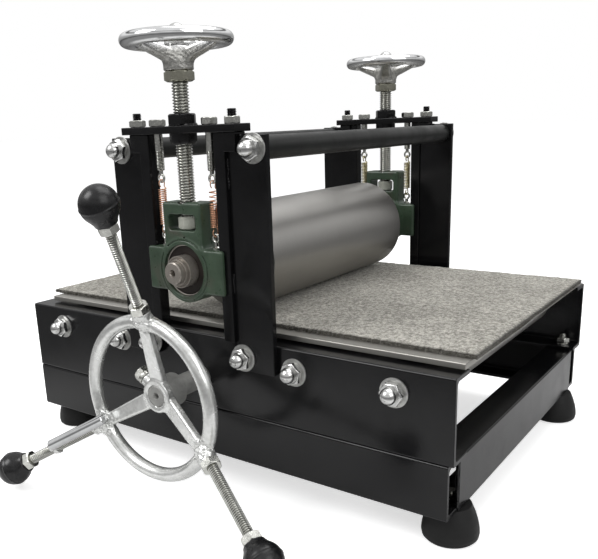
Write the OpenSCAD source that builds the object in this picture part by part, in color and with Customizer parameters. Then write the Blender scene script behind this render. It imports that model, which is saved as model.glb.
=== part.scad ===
// Tabletop etching press. Two rolled side rails on a welded base carry a driven lower roller and
// four support rollers; a steel bed with a felt blanket rides over them. Four uprights guide a pair
// of green take-up bearing castings, which two hand screws press down and four springs lift.
// X is the bed's travel, Y the rollers' axes with the drive wheel at -Y, and Z is up.
// The origin is on the bench, midway between the four feet.

/* [Bench frame] */
// Length of the frame along the bed's travel
frame_l = 505; // [460:1:620]
// Width of the frame over the webs of the side rails
frame_w = 366; // [350:1:440]
// Height of the side rails
rail_h = 73; // [72:1:90]
// Width of the side rails' flanges
rail_flange = 27; // [24:1:30]
// Height of the base channels
base_h = 48; // [42:1:60]
// Width of the base channels' flanges
base_flange = 22; // [20:1:26]
// Width of the cross members' flanges
cross_flange = 28; // [24:1:36]
// Wall of the rolled channels
wall = 4; // [3:0.5:4.5]
// Radius of the channels' outer corners
bend_r = 2; // [1:0.5:4]
// Radius of the channels' inner corners
root_r = 1; // [0.5:0.5:2]
// Distance from the base channels' ends back to the cross members
cross_setback = 1; // [0:0.5:4]

/* [Feet] */
// Height of a rubber foot
foot_h = 30.5; // [26:0.5:45]
// Diameter of a foot where it stands on the bench
foot_d = 48; // [42:1:60]
// Diameter of a foot under the frame
foot_top_d = 34; // [28:1:40]
// Distance from the frame's side to a foot's centre
foot_inset = 34; // [32:1:48]
// Depth of the recess for the foot's bolt head
foot_recess = 14; // [8:1:20]

/* [Bed] */
// Length of the bed plate
plate_l = 490; // [440:1:600]
// Width of the bed plate
plate_w = 334; // [312:1:344]
// Thickness of the bed plate
plate_t = 5; // [4:0.5:8]
// Place of the plate's centre along the travel
plate_shift = 8; // [-20:1:20]
// Length of the felt blanket
felt_l = 506; // [440:1:610]
// Width of the felt blanket
felt_w = 306; // [270:1:312]
// Thickness of the felt blanket
felt_t = 4; // [3:0.5:6]
// Place of the blanket's centre along the travel
felt_shift = 3; // [-20:1:20]
// Height of the bed plate over the rails' top
bed_gap = 2; // [1:0.5:4]

/* [Rollers] */
// Diameter of the upper roller
upper_d = 101.6; // [90:0.1:110]
// Diameter of the driven lower roller
lower_d = 88.9; // [84:0.1:92]
// Diameter of a support roller
support_d = 44; // [36:1:48]
// Length of the upper and lower rollers
roller_l = 258; // [220:1:280]
// Length of the support rollers
support_l = 300; // [280:1:301]
// Wall of the upper and lower rollers' tubes
roller_wall = 8; // [5:0.5:12]
// Wall of the support rollers' tubes
support_wall = 3; // [2:0.5:4]
// Thickness of the rollers' end discs
disc_t = 10; // [6:1:16]
// Distance that an end disc stands back from the roller's end
disc_setback = 2; // [1:0.5:4]
// Diameter of the roller shafts in their bearings
shaft_d = 20; // [18:0.5:20]
// Diameter of the roller shafts inside the rollers
core_d = 30; // [26:1:36]
// Place of the inner support rollers from the middle
support_in = 107; // [98:1:120]
// Place of the outer support rollers from the middle
support_out = 202; // [185:1:212]

/* [Bearings] */
// Outer diameter of the upper insert bearings
insert_d = 47; // [46:0.5:49]
// Width of an insert bearing's outer ring
insert_w = 17; // [14:0.5:18]
// Outer diameter of an insert bearing's inner ring
insert_inner_d = 29; // [27.5:0.5:31]
// Length of the inner ring outside its middle plane
insert_out = 18.3; // [16:0.1:20]
// Length of the inner ring inside its middle plane
insert_in = 12.7; // [11:0.1:14]
// Outer diameter of the lower ball bearings
ball_bearing_d = 42; // [41:0.5:44]
// Outer diameter of the lower bearings' inner rings
lower_inner_d = 28; // [27:0.5:29]
// Width of the lower ball bearings
ball_bearing_w = 12; // [10:0.5:14]
// Outer diameter of the cups that hold the lower bearings
cup_d = 51; // [49:0.5:54]
// Thickness of a cup's floor against the rail
cup_floor = 3; // [2:0.5:5]
// Balls in a bearing
ball_count = 8; // [6:1:8]
// Diameter of the upper bearings' balls
insert_ball_d = 7.6; // [6.5:0.1:8]
// Diameter of the lower bearings' balls
lower_ball_d = 6; // [5:0.1:6.5]

/* [Bearing castings] */
// Width of a casting over its wings
wing_w = 89; // [86:1:93]
// Height of a casting's wings
wing_h = 40; // [36:1:44]
// Thickness of a casting
housing_t = 21; // [19:1:26]
// Width of a casting's neck
neck_w = 45; // [42:1:47]
// Height of the neck's top over the bearing's centre
neck_top = 61; // [58:1:66]
// Radius of the casting round the bearing
housing_r = 29.5; // [28:0.5:31]
// Radius of the raised boss round the bearing
boss_r = 27; // [25.5:0.5:27.5]
// Height of the raised boss
boss_h = 1.5; // [0.5:0.5:3]
// Width of the window for the screw's end
window_w = 32; // [30:1:34]
// Height of the window
window_h = 14; // [13:0.5:16]
// Height of the window's sill over the bearing's centre
window_z = 36; // [33:0.5:39]
// Corner radius of a casting's wings and neck
housing_round = 4; // [2:0.5:6]

/* [Uprights] */
// Distance between the guide bars' inner edges and the middle
guide_x = 38.3; // [37:0.1:39.5]
// Width of a guide bar
guide_w = 11.7; // [10:0.1:13]
// Depth of a guide bar along the rollers
guide_t = 12; // [10:0.5:13]
// Width of an upright's plate
upright_w = 40; // [36:1:46]
// Thickness of an upright's plate
upright_t = 6; // [5:0.5:8]
// Height of the uprights over the rails
upright_h = 179; // [170:1:200]
// Length of an upright's foot down the rail's side
upright_foot = 25.7; // [24:0.1:34]
// Distance from the rail's side out to the press plane
press_out = 4; // [3:0.5:5]
// Width of the lug on top of an upright
lug_w = 18; // [14:1:18]
// Height of the lug's block
lug_h = 16; // [12:1:24]
// Height that the lug stands over the plate
lug_rise = 2.5; // [1:0.5:5]

/* [Crossbars] */
// Length of a crossbar
bar_l = 132; // [130:1:150]
// Depth of a crossbar along the rollers
bar_d = 22; // [21:1:26]
// Thickness of a crossbar
bar_t = 6.5; // [5:0.5:10]
// Distance from the middle to a crossbar's stud
stud_x = 55.5; // [54:0.5:57]
// Distance from the middle to a spring's axis
spring_x = 30.5; // [29.5:0.5:31]
// Outer diameter of a tie tube
tie_tube_d = 20; // [18:1:21]
// Wall of a tie tube
tie_tube_wall = 2.5; // [2:0.5:3]
// Place of a tie rod from the middle
tie_x = 77.5; // [75:0.5:79]
// Depth of a tie rod under the uprights' top
tie_drop = 11; // [10:0.5:24]

/* [Pressure screws] */
// Diameter of a pressure screw
screw_d = 18; // [16:0.5:18]
// Width across the flats of the screw's nuts
screw_nut_af = 27; // [25:0.5:28]
// Height of the nut on the crossbar
screw_nut_h = 10; // [8:0.5:14]
// Height of the nut under the crossbar
screw_under_h = 9; // [7:0.5:12]
// Width across the flats of the nut in the casting's window
end_nut_af = 23; // [22:0.5:24]
// Height of the jam nut under the hand wheel
jam_h = 9; // [7:0.5:12]
// Length of bare screw between the crossbar's nut and the jam nut
screw_show = 26; // [20:1:40]
// Diameter of the stud on the screw's top
top_stud_d = 12; // [10:0.5:12]

/* [Hand wheels] */
// Outer diameter of a hand wheel
hand_d = 98; // [86:1:110]
// Diameter of the rim's round section
hand_rim_d = 13; // [11:0.5:15]
// Diameter of the hub
hand_hub_d = 30; // [28:0.5:34]
// Height of the hub
hand_hub_h = 20; // [18:0.5:26]
// Height of the rim's centre over the hub's underside
hand_rim_z = 26; // [22:0.5:30]
// Width of a hand wheel's arm
hand_arm_w = 10; // [8:0.5:13]
// Direction of the near hand wheel's first arm
near_arm_a = 14; // [0:1:119]
// Direction of the far hand wheel's first arm
far_arm_a = 58; // [0:1:119]

/* [Springs] */
// Diameter of the spring wire
wire_d = 1.1; // [0.9:0.05:1.1]
// Radius of the spring's coil at the wire's centre
coil_r = 4.2; // [3.8:0.1:4.6]
// Turns of wire in a spring
coil_turns = 20; // [12:1:20]
// Rise of the coil in one turn
coil_pitch = 1.65; // [1.55:0.05:1.8]
// Radius of a spring's end loops at the wire's centre
loop_r = 3.4; // [3.2:0.1:3.6]
// Radius of the eye rings that hold the springs
eye_r = 3.4; // [3.3:0.1:3.8]
// Diameter of the eye rings' wire
eye_wire_d = 2.4; // [2:0.1:2.4]
// Height of the lower eye rings over the casting's shoulders
eye_rise = 9.5; // [8:0.5:12]

/* [Drive wheel] */
// Outer diameter of the drive wheel
wheel_d = 153.5; // [140:0.5:166]
// Diameter of the wheel rim's round section
wheel_rim_d = 12.5; // [12:0.5:18]
// Distance from the frame's side to the rim's middle
wheel_out = 70; // [66:1:80]
// Diameter of the wheel's hub
hub_d = 31; // [28:0.5:36]
// Length of the wheel's hub
hub_l = 22; // [20:1:26]
// Distance from the frame's side to the hub's front
hub_out = 59.5; // [58:0.5:64]
// Tilt of the spokes out of the wheel's plane
spoke_tilt = 14; // [12:0.5:16]
// Direction of the first spoke
spoke_a = 89; // [87:1:91]
// Width of a spoke at the hub
spoke_w = 16; // [12:0.5:18]
// Width of a spoke at the rim
spoke_tip_w = 13.5; // [10:0.5:15]
// Thickness of a spoke
spoke_t = 8; // [6:0.5:10]
// Diameter of the bosses on the rim
rim_boss_d = 18; // [15:0.5:20]
// Diameter of the boss that the bright pin passes
pin_boss_d = 14; // [13:0.5:14.5]
// Diameter of the collar behind the hub
collar_d = 32; // [28:0.5:36]
// Length of the collar
collar_l = 14; // [10:1:18]

/* [Arms] */
// Tilt of the arms' rods out of the wheel's plane
arm_tilt = 22; // [20:0.5:23]
// Distance of the rods in front of the rim's middle, where they cross it
arm_front = 2.5; // [0:0.5:4]
// Direction of the top arm
top_arm_a = 86; // [84:1:90]
// Direction of the left arm
left_arm_a = 210; // [208:1:212]
// Direction of the right arm
right_arm_a = 332; // [329:1:333]
// Distance from the wheel's axis to a knob's centre
knob_reach = 175.5; // [165:0.5:176]
// Diameter of a knob
knob_d = 32; // [28:0.5:33]
// Diameter of a knob's neck
knob_neck_d = 19; // [17:0.5:21]
// Length of the neck below the ball
knob_neck_l = 0.5; // [0.5:0.5:3]
// Diameter of an arm's threaded rod
arm_rod_d = 8; // [7:0.5:8]
// Diameter of the bright pin beside the left arm
side_pin_d = 9; // [6:0.5:9]
// Length of the bright pin
side_pin_l = 65; // [44:1:66]
// Distance from the middle of the arm's rod to the middle of the pin
side_pin_off = 12; // [11.5:0.25:13]
// Thickness of the pin's lug
side_lug_t = 4; // [3:0.5:6]

/* [Fasteners] */
// Diameter of the tie rods, roller axles and upright bolts
rod_d = 10; // [9:0.5:11]
// Width across the flats of their cap nuts
cap_af = 17; // [16:0.5:18]
// Height of a cap nut's hexagon
cap_hex_h = 5; // [4:0.5:7]
// Diameter of a cap nut's dome
cap_dome_d = 12.5; // [12:0.5:14]
// Diameter of the large washers
washer_d = 25; // [23.5:0.5:25.5]
// Thickness of the large washers
washer_t = 1.5; // [1:0.25:2.5]
// Diameter of the spring washers
lock_washer_d = 18; // [17:0.5:20]
// Thickness of the spring washers
lock_washer_t = 1.25; // [1:0.25:2]
// Diameter of the small bolts and studs
bolt_d = 8; // [7:0.5:8]
// Width across the flats of the small bolts
bolt_af = 13; // [12:0.5:14]
// Height of the small nuts and bolt heads
bolt_h = 6; // [5:0.5:7]
// Height of the uprights' bolts under the rails' top
upright_bolt_drop = 13.5; // [12.5:0.5:14]
// Distance from the middle to the uprights' bolts
upright_bolt_x = 57; // [56:0.5:74]

/* [Clearances] */
// Radial clearance of a shaft, axle or screw that turns in a bore
run_fit = 0.05; // [0.02:0.01:0.09]
// Clearance of a casting on its guide bars
slide_fit = 0.3; // [0.2:0.05:0.4]
// Clearance between a roller and what rolls on it
roll_gap = 0.3; // [0.2:0.05:0.5]
// Radial clearance of a bolt in its hole
hole_fit = 0.3; // [0.2:0.05:0.5]

/* [Hidden] */
$fn = 48;

near = -1;
far = 1;
left = -1;
right = 1;
cut = 1;
web_y = frame_w / 2;
press_y = web_y + press_out;
shaft_r = shaft_d / 2;
rod_r = rod_d / 2;
bolt_r = bolt_d / 2;

z_base = foot_h;
z_rail_foot = z_base + base_h;
z_rail = z_rail_foot + rail_h;
z_plate = z_rail + bed_gap;
z_felt = z_plate + plate_t;
upper_z = z_felt + felt_t + roll_gap + upper_d / 2;
lower_z = z_plate - roll_gap - lower_d / 2;
support_z = z_plate - roll_gap - support_d / 2;
z_top = z_rail + upright_h;
z_bar = z_top + lug_rise;
z_tie = z_top - tie_drop;
z_shoulder = upper_z + wing_h / 2;

foot_x = frame_l / 2 - cross_setback - cross_flange / 2;
foot_y = web_y - foot_inset;
rail_bolt_x = frame_l / 2 - bolt_af + cross_setback;
rail_bolt_y = web_y - base_flange + bolt_af / 2 + hole_fit;
support_x = [-support_out, -support_in, support_in, support_out];
upright_x = guide_x + guide_w + upright_w / 2;
lower_bearing_y = web_y - wall - cup_floor - ball_bearing_w / 2;
stack_h = washer_t + lock_washer_t;
rod_grip = cap_hex_h + 2;

ring_wall = 2.4;
seal_t = 1.2;
ball_gap = 0.15;
chamfer = 1;

z_window = upper_z + window_z;
end_nut_h = window_h - 2 * slide_fit - 1;
screw_nut_top = z_bar + bar_t + screw_nut_h;
jam_z = screw_nut_top + screw_show;
hub_z = jam_z + jam_h;
hub_top = hub_z + hand_hub_h;
hand_rim_r = (hand_d - hand_rim_d) / 2;
top_nut_af = 19;
top_nut_h = 8;
top_dome_d = 16;

coil_l = coil_turns * coil_pitch;
loop_lift = loop_r + wire_d;
eye_bar_r = eye_wire_d / 2;
z_eye_low = z_shoulder + eye_rise;
eye_to_loop = eye_r - eye_bar_r - roll_gap - wire_d / 2 + loop_r;
z_coil = z_eye_low + eye_to_loop + loop_lift;
z_eye_high = z_coil + coil_l + loop_lift + eye_to_loop;
hanger_end = z_eye_high + eye_r + eye_bar_r;

wheel_rim_r = (wheel_d - wheel_rim_d) / 2;
arm_apex = wheel_out + arm_front - wheel_rim_r * tan(arm_tilt);
arm_to_rim = wheel_rim_r / cos(arm_tilt);
arm_angles = [top_arm_a, left_arm_a, right_arm_a];
spoke_apex = wheel_out - wheel_rim_r * tan(spoke_tilt);
spoke_l = wheel_rim_r / cos(spoke_tilt);
boss_end = arm_to_rim + wheel_rim_d / 2 + 6.5;
boss_start = arm_to_rim - wheel_rim_d / 2 - 3;
pin_boss_end = boss_end - 5;
boss_ends = [boss_end, pin_boss_end, boss_end];
boss_ds = [rim_boss_d, pin_boss_d, rim_boss_d];
side_pin_start = boss_start + 1;
knob_at = knob_reach / cos(arm_tilt);
neck_at = knob_at - knob_d / 2 - knob_neck_l;
knob_bore = knob_neck_l + knob_d / 2;
set_bolt_a = spoke_a + 60;
set_boss_h = 6.25;

// Placing

// Stands a piece that is drawn for the near side on the given side
module on_side(side) {
    if (side == near) children();
    else mirror([0, 1, 0]) children();
}

// Turns a piece's own Z outwards along -Y, with its own Y upwards
module outwards() {
    rotate([90, 0, 0]) children();
}

// Places a piece on the drive wheel's axis, its own Z outwards from the frame's side
module on_wheel() {
    translate([0, -web_y, lower_z]) outwards() children();
}

// Places a piece along the drive wheel's arm i, its own Z along the arm
module on_arm(i) {
    on_wheel() rotate([0, 0, arm_angles[i]]) translate([0, 0, arm_apex])
        rotate([0, 90 - arm_tilt, 0]) children();
}

// Basic shapes

// A hexagon nut with chamfered corners on Z, and a bore if one is given
module hex_nut(af, h, bore = 0) {
    corner = af / 2 / cos(30);
    difference() {
        intersection() {
            cylinder(r = corner, h = h, $fn = 6);
            rotate_extrude()
                polygon([
                    [0, 0], [corner - chamfer, 0], [corner, chamfer / 2], [corner, h - chamfer / 2],
                    [corner - chamfer, h], [0, h]
                ]);
        }
        if (bore > 0) translate([0, 0, -cut]) cylinder(d = bore, h = h + 2 * cut);
    }
}

// A tube on Z
module tube(d, bore, h) {
    difference() {
        cylinder(d = d, h = h);
        translate([0, 0, -cut]) cylinder(d = bore, h = h + 2 * cut);
    }
}

// The waste outside one rounded corner at the origin, the corner's inside being at +X +Y
module corner_waste(r) {
    difference() {
        translate([-cut, -cut]) square(r + cut);
        translate([r, r]) circle(r);
    }
}

// A rectangle from the origin with its four corners rounded
module round_rect(w, h, r) {
    difference() {
        square([w, h]);
        for (sx = [0, 1], sy = [0, 1])
            translate([sx * w, sy * h]) mirror([sx, 0]) mirror([0, sy]) corner_waste(r);
    }
}

// Section of a rolled channel: its web on X = 0, its flanges towards +X, its foot on Y = 0
module channel_section(h, flange) {
    difference() {
        square([flange, h]);
        for (sy = [0, 1]) translate([0, sy * h]) mirror([0, sy]) corner_waste(bend_r);
        translate([wall, wall]) difference() {
            square([flange, h - 2 * wall]);
            for (sy = [0, 1])
                translate([0, sy * (h - 2 * wall)]) mirror([0, sy]) corner_waste(root_r);
        }
    }
}

// Base and feet

module rubber_feet() {
    color([0.06, 0.06, 0.06])
    for (sx = [left, right], sy = [near, far]) translate([sx * foot_x, sy * foot_y, 0])
        difference() {
            rotate_extrude() difference() {
                polygon([
                    [0, 0], [foot_d / 2, 0], [foot_d / 2, foot_h / 5], [foot_top_d / 2, foot_h], [0, foot_h]
                ]);
                translate([foot_d / 2, 0]) mirror([1, 0]) corner_waste(foot_h / 10);
            }
            translate([0, 0, -cut]) cylinder(d = bolt_d + 2 * hole_fit, h = foot_h + 2 * cut);
            translate([0, 0, -cut]) cylinder(d = bolt_af * 1.3, h = foot_recess + cut);
        }
}

module foot_bolts() {
    head_z = foot_recess - bolt_h;
    shank_top = z_base + wall + bolt_h + 2;
    color([0.75, 0.75, 0.72])
    for (sx = [left, right], sy = [near, far]) translate([sx * foot_x, sy * foot_y, 0]) {
        translate([0, 0, head_z]) {
            hex_nut(bolt_af, bolt_h);
            cylinder(d = bolt_d, h = shank_top - head_z);
        }
        translate([0, 0, z_base + wall]) hex_nut(bolt_af, bolt_h, bolt_d + 2 * run_fit);
    }
}

module base_rail(side) {
    on_side(side) difference() {
        translate([-frame_l / 2, -web_y, z_base]) rotate([90, 0, 90])
            linear_extrude(frame_l) channel_section(base_h, base_flange);
        for (sx = [left, right]) translate([sx * rail_bolt_x, -rail_bolt_y, z_rail_foot - wall - cut])
            cylinder(r = bolt_r + hole_fit, h = wall + 2 * cut);
    }
}

module base_rail_near() { color([0.05, 0.05, 0.05]) base_rail(near); }
module base_rail_far() { color([0.05, 0.05, 0.05]) base_rail(far); }

module base_crossmembers() {
    cross_l = frame_w - 2 * base_flange;
    color([0.05, 0.05, 0.05])
    for (sx = [left, right]) difference() {
        translate([sx * (frame_l / 2 - cross_setback), cross_l / 2, z_base]) mirror([sx > 0 ? 1 : 0, 0, 0])
            rotate([90, 0, 0]) linear_extrude(cross_l) channel_section(base_h, cross_flange);
        for (sy = [near, far]) translate([sx * foot_x, sy * foot_y, z_base - cut])
            cylinder(r = bolt_r + hole_fit, h = wall + 2 * cut);
    }
}

module rail_bolts() {
    grip_z = z_rail_foot - wall;
    shank = 2 * wall + bolt_h + 6;
    color([0.78, 0.77, 0.72])
    for (sx = [left, right], sy = [near, far]) translate([sx * rail_bolt_x, sy * rail_bolt_y, grip_z]) {
        translate([0, 0, -bolt_h]) {
            hex_nut(bolt_af, bolt_h);
            cylinder(d = bolt_d, h = bolt_h + shank);
        }
        translate([0, 0, 2 * wall]) tube(bolt_af + 1, bolt_d + 2 * run_fit, washer_t);
        translate([0, 0, 2 * wall + washer_t]) hex_nut(bolt_af, bolt_h, bolt_d + 2 * run_fit);
    }
}

// Side rails and what they carry

module side_rail(side) {
    on_side(side) difference() {
        translate([-frame_l / 2, -web_y, z_rail_foot]) rotate([90, 0, 90])
            linear_extrude(frame_l) channel_section(rail_h, rail_flange);
        for (x = support_x) translate([x, cut - web_y + wall, support_z]) outwards()
            cylinder(r = rod_r + hole_fit, h = wall + 2 * cut);
        translate([0, cut - web_y + wall, lower_z]) outwards() cylinder(d = core_d, h = wall + 2 * cut);
        for (sx = [left, right]) {
            translate([sx * upright_bolt_x, cut - web_y + wall, z_rail - upright_bolt_drop]) outwards()
                cylinder(r = rod_r + hole_fit, h = wall + 2 * cut);
            translate([sx * rail_bolt_x, -rail_bolt_y, z_rail_foot - cut])
                cylinder(r = bolt_r + hole_fit, h = wall + 2 * cut);
        }
    }
}

module side_rail_near() { color([0.05, 0.05, 0.05]) side_rail(near); }
module side_rail_far() { color([0.05, 0.05, 0.05]) side_rail(far); }

module support_axles() {
    l = frame_w + 2 * (stack_h + rod_grip);
    color([0.7, 0.7, 0.68])
    for (x = support_x) translate([x, l / 2, support_z]) outwards() cylinder(d = rod_d, h = l);
}

// One support roller: its tube and the two bushes that turn on the axle
module support_roller(i) {
    bush_d = support_d - 2 * support_wall;
    color([0.62, 0.62, 0.6]) translate([support_x[i], support_l / 2, support_z]) outwards() {
        tube(support_d, bush_d, support_l);
        for (z = [disc_setback, support_l - disc_setback - disc_t])
            translate([0, 0, z]) tube(bush_d, rod_d + 2 * run_fit, disc_t);
    }
}

module support_roller_1() { support_roller(0); }
module support_roller_2() { support_roller(1); }
module support_roller_3() { support_roller(2); }
module support_roller_4() { support_roller(3); }

module lower_bearing_cups() {
    l = ball_bearing_w + cup_floor;
    color([0.08, 0.08, 0.08])
    for (side = [near, far]) on_side(side) intersection() {
        translate([0, l - web_y + wall, lower_z]) outwards() difference() {
            cylinder(d = cup_d, h = l);
            translate([0, 0, -cut]) cylinder(d = ball_bearing_d, h = ball_bearing_w + cut);
            cylinder(d = core_d, h = l + cut);
        }
        translate([-cup_d, -web_y, z_rail_foot + wall]) cube([2 * cup_d, web_y, rail_h - 2 * wall]);
    }
}

// A ball groove's waste: a ring of round section about Z at the given radius
module ball_groove(pitch_r, ball_d) {
    rotate_extrude() translate([pitch_r, 0]) circle(d = ball_d + 2 * ball_gap);
}

// Radius of the ball circle between an outer ring and an inner ring
function ball_circle(d, inner_d) = (d / 2 - ring_wall + inner_d / 2) / 2;

// Outer ring, shields and balls of a bearing about Z, centred on Z = 0
module bearing_outer(d, w, inner_d, ball_d) {
    pitch_r = ball_circle(d, inner_d);
    outer_bore = d - 2 * ring_wall;
    difference() {
        translate([0, 0, -w / 2]) tube(d, outer_bore, w);
        ball_groove(pitch_r, ball_d);
    }
    for (s = [-1, 1]) translate([0, 0, s * (w - seal_t) / 2 - seal_t / 2])
        tube(outer_bore, inner_d + 2 * roll_gap, seal_t);
    for (i = [0 : ball_count - 1]) rotate([0, 0, i * 360 / ball_count])
        translate([pitch_r, 0, 0]) sphere(d = ball_d);
}

// Inner ring of a bearing about Z, from -low to high
module bearing_inner(d, low, high, pitch_r, ball_d) {
    difference() {
        translate([0, 0, -low]) tube(d, shaft_d, low + high);
        ball_groove(pitch_r, ball_d);
    }
}

module lower_bearings() {
    color([0.5, 0.5, 0.5])
    for (side = [near, far]) on_side(side) translate([0, -lower_bearing_y, lower_z]) outwards()
        bearing_outer(ball_bearing_d, ball_bearing_w, lower_inner_d, lower_ball_d);
}

module lower_inner_rings() {
    half = ball_bearing_w / 2;
    color([0.6, 0.6, 0.6])
    for (side = [near, far]) on_side(side) translate([0, -lower_bearing_y, lower_z]) outwards()
        bearing_inner(lower_inner_d, half, half, ball_circle(ball_bearing_d, lower_inner_d), lower_ball_d);
}

// A roller's tube and its two end discs, about the axis at height z
module roller(d, z) {
    disc_d = d - 2 * roller_wall;
    translate([0, roller_l / 2, z]) outwards() {
        tube(d, disc_d, roller_l, $fn = 96);
        for (at = [disc_setback, roller_l - disc_setback - disc_t])
            translate([0, 0, at]) tube(disc_d, core_d, disc_t);
    }
}

// A roller's shaft about the axis at height z, out to near_y and far_y
module roller_shaft(z, near_y, far_y) {
    translate([0, 0, z]) {
        translate([0, roller_l / 2, 0]) outwards() cylinder(d = core_d, h = roller_l);
        difference() {
            translate([0, far_y, 0]) outwards() cylinder(d = shaft_d, h = far_y + near_y);
            for (end = [[-near_y, -1], [far_y, 1]]) translate([0, end[0], 0])
                rotate([90 * end[1], 0, 0]) centre_drill();
        }
    }
}

// The centre drilling in a shaft's end, going down from Z = 0
module centre_drill() {
    translate([0, 0, -cut]) cylinder(d = 4, h = 5 + cut);
}

module lower_roller() { color([0.6, 0.6, 0.6]) roller(lower_d, lower_z); }

module drive_shaft() {
    color([0.45, 0.45, 0.44]) roller_shaft(lower_z, web_y + hub_out, web_y + washer_t);
}

// Drive wheel

module shaft_collar() {
    color([0.42, 0.42, 0.42]) on_wheel() translate([0, 0, hub_out - hub_l - collar_l])
        tube(collar_d, shaft_d, collar_l);
}

// One spoke of the wheel, drawn along +X in the plane of its own Z = 0
module spoke() {
    linear_extrude(spoke_t, center = true)
        polygon([
            [0, -spoke_w / 2], [spoke_l, -spoke_tip_w / 2],
            [spoke_l, spoke_tip_w / 2], [0, spoke_w / 2]
        ]);
}

module drive_wheel() {
    color([0.78, 0.8, 0.76]) difference() {
        union() {
            on_wheel() {
                translate([0, 0, wheel_out]) rotate_extrude($fn = 96)
                    translate([wheel_rim_r, 0]) circle(d = wheel_rim_d);
                translate([0, 0, hub_out - hub_l]) cylinder(d = hub_d, h = hub_l);
                rotate([0, 0, set_bolt_a]) translate([0, 0, hub_out - hub_l / 2]) rotate([0, 90, 0])
                    cylinder(d = bolt_af + 1, h = hub_d / 2 + set_boss_h);
            }
            for (i = [0 : 2]) {
                on_wheel() rotate([0, 0, spoke_a + 120 * i]) translate([0, 0, spoke_apex])
                    rotate([0, -spoke_tilt, 0]) spoke();
                on_arm(i) translate([0, 0, boss_start])
                    cylinder(d = boss_ds[i], h = boss_ends[i] - boss_start);
            }
        }
        on_wheel() {
            translate([0, 0, hub_out]) cylinder(d = 2 * hub_d, h = hub_l);
            translate([0, 0, -hub_l]) cylinder(d = 2 * hub_d, h = hub_out);
            cylinder(d = shaft_d, h = hub_out + cut);
            rotate([0, 0, set_bolt_a]) translate([0, 0, hub_out - hub_l / 2]) rotate([0, 90, 0])
                cylinder(d = bolt_d, h = hub_d);
        }
        for (i = [0 : 2]) on_arm(i) translate([0, 0, boss_start + chamfer])
            cylinder(d = arm_rod_d, h = boss_end);
    }
}

module wheel_set_bolt() {
    head_at = hub_d / 2 + set_boss_h + lock_washer_t;
    color([0.8, 0.8, 0.78]) on_wheel() rotate([0, 0, set_bolt_a])
        translate([0, 0, hub_out - hub_l / 2]) rotate([0, 90, 0]) {
            translate([0, 0, shaft_r]) cylinder(d = bolt_d, h = head_at - shaft_r);
            translate([0, 0, head_at]) hex_nut(bolt_af, bolt_h);
            translate([0, 0, head_at - lock_washer_t])
                tube(bolt_af + 1, bolt_d + 2 * run_fit, lock_washer_t);
        }
}

module arm_rods() {
    start = boss_start + chamfer;
    color([0.72, 0.73, 0.7])
    for (i = [0 : 2]) on_arm(i) translate([0, 0, start])
        cylinder(d = arm_rod_d, h = neck_at + knob_bore - cut - start);
}

// A nut under each knob, and one on the rim's boss where no pin is held
module arm_nuts() {
    color([0.8, 0.8, 0.77]) {
        for (i = [0 : 2]) on_arm(i) translate([0, 0, neck_at - bolt_h])
            hex_nut(bolt_af, bolt_h, arm_rod_d);
        for (i = [0, 2]) on_arm(i) translate([0, 0, boss_end]) hex_nut(bolt_af, bolt_h, arm_rod_d);
    }
}

// A ball knob with a tapering neck that starts at Z = 0
module ball_knob() {
    ball_z = knob_neck_l + knob_d / 2;
    shoulder_r = knob_d / 2 * sin(50);
    difference() {
        union() {
            translate([0, 0, ball_z]) sphere(d = knob_d, $fn = 64);
            cylinder(r1 = knob_neck_d / 2, r2 = shoulder_r, h = ball_z - knob_d / 2 * cos(50));
        }
        translate([0, 0, -cut]) cylinder(d = arm_rod_d, h = knob_bore + cut);
    }
}

module arm_knobs() {
    color([0.05, 0.05, 0.05])
    for (i = [0 : 2]) on_arm(i) translate([0, 0, neck_at]) ball_knob();
}

// The bright pin lies beside the left arm, in front of it and a little above
module on_side_pin() {
    on_arm(1) rotate([0, 0, -163]) children();
}

module side_pin() {
    color([0.85, 0.86, 0.86]) on_side_pin() translate([side_pin_off, 0, side_pin_start])
        cylinder(d = side_pin_d, h = side_pin_l);
}

// Two lugs on the arm's rod that hold the pin: it passes the inner one and ends on the outer one
module side_pin_lugs() {
    lug_r = side_pin_d / 2 + 1.5;
    color([0.74, 0.75, 0.72]) on_side_pin() difference() {
        for (z = [pin_boss_end, side_pin_start + side_pin_l]) translate([0, 0, z]) {
            cylinder(r = lug_r, h = side_lug_t);
            translate([0, -lug_r, 0]) cube([side_pin_off, 2 * lug_r, side_lug_t]);
            translate([side_pin_off, 0, 0]) cylinder(r = lug_r, h = side_lug_t);
        }
        translate([0, 0, boss_start]) cylinder(d = arm_rod_d, h = knob_at);
        translate([side_pin_off, 0, side_pin_start]) cylinder(d = side_pin_d, h = side_pin_l);
    }
}

// Bed

module bed_plate() {
    color([0.48, 0.47, 0.43]) translate([plate_shift - plate_l / 2, -plate_w / 2, z_plate])
        linear_extrude(plate_t) round_rect(plate_l, plate_w, plate_t / 2);
}

module felt_blanket() {
    color([0.66, 0.66, 0.62]) translate([felt_shift - felt_l / 2, -felt_w / 2, z_felt])
        linear_extrude(felt_t) round_rect(felt_l, felt_w, felt_t);
}

// Uprights, ties and crossbars

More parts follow.
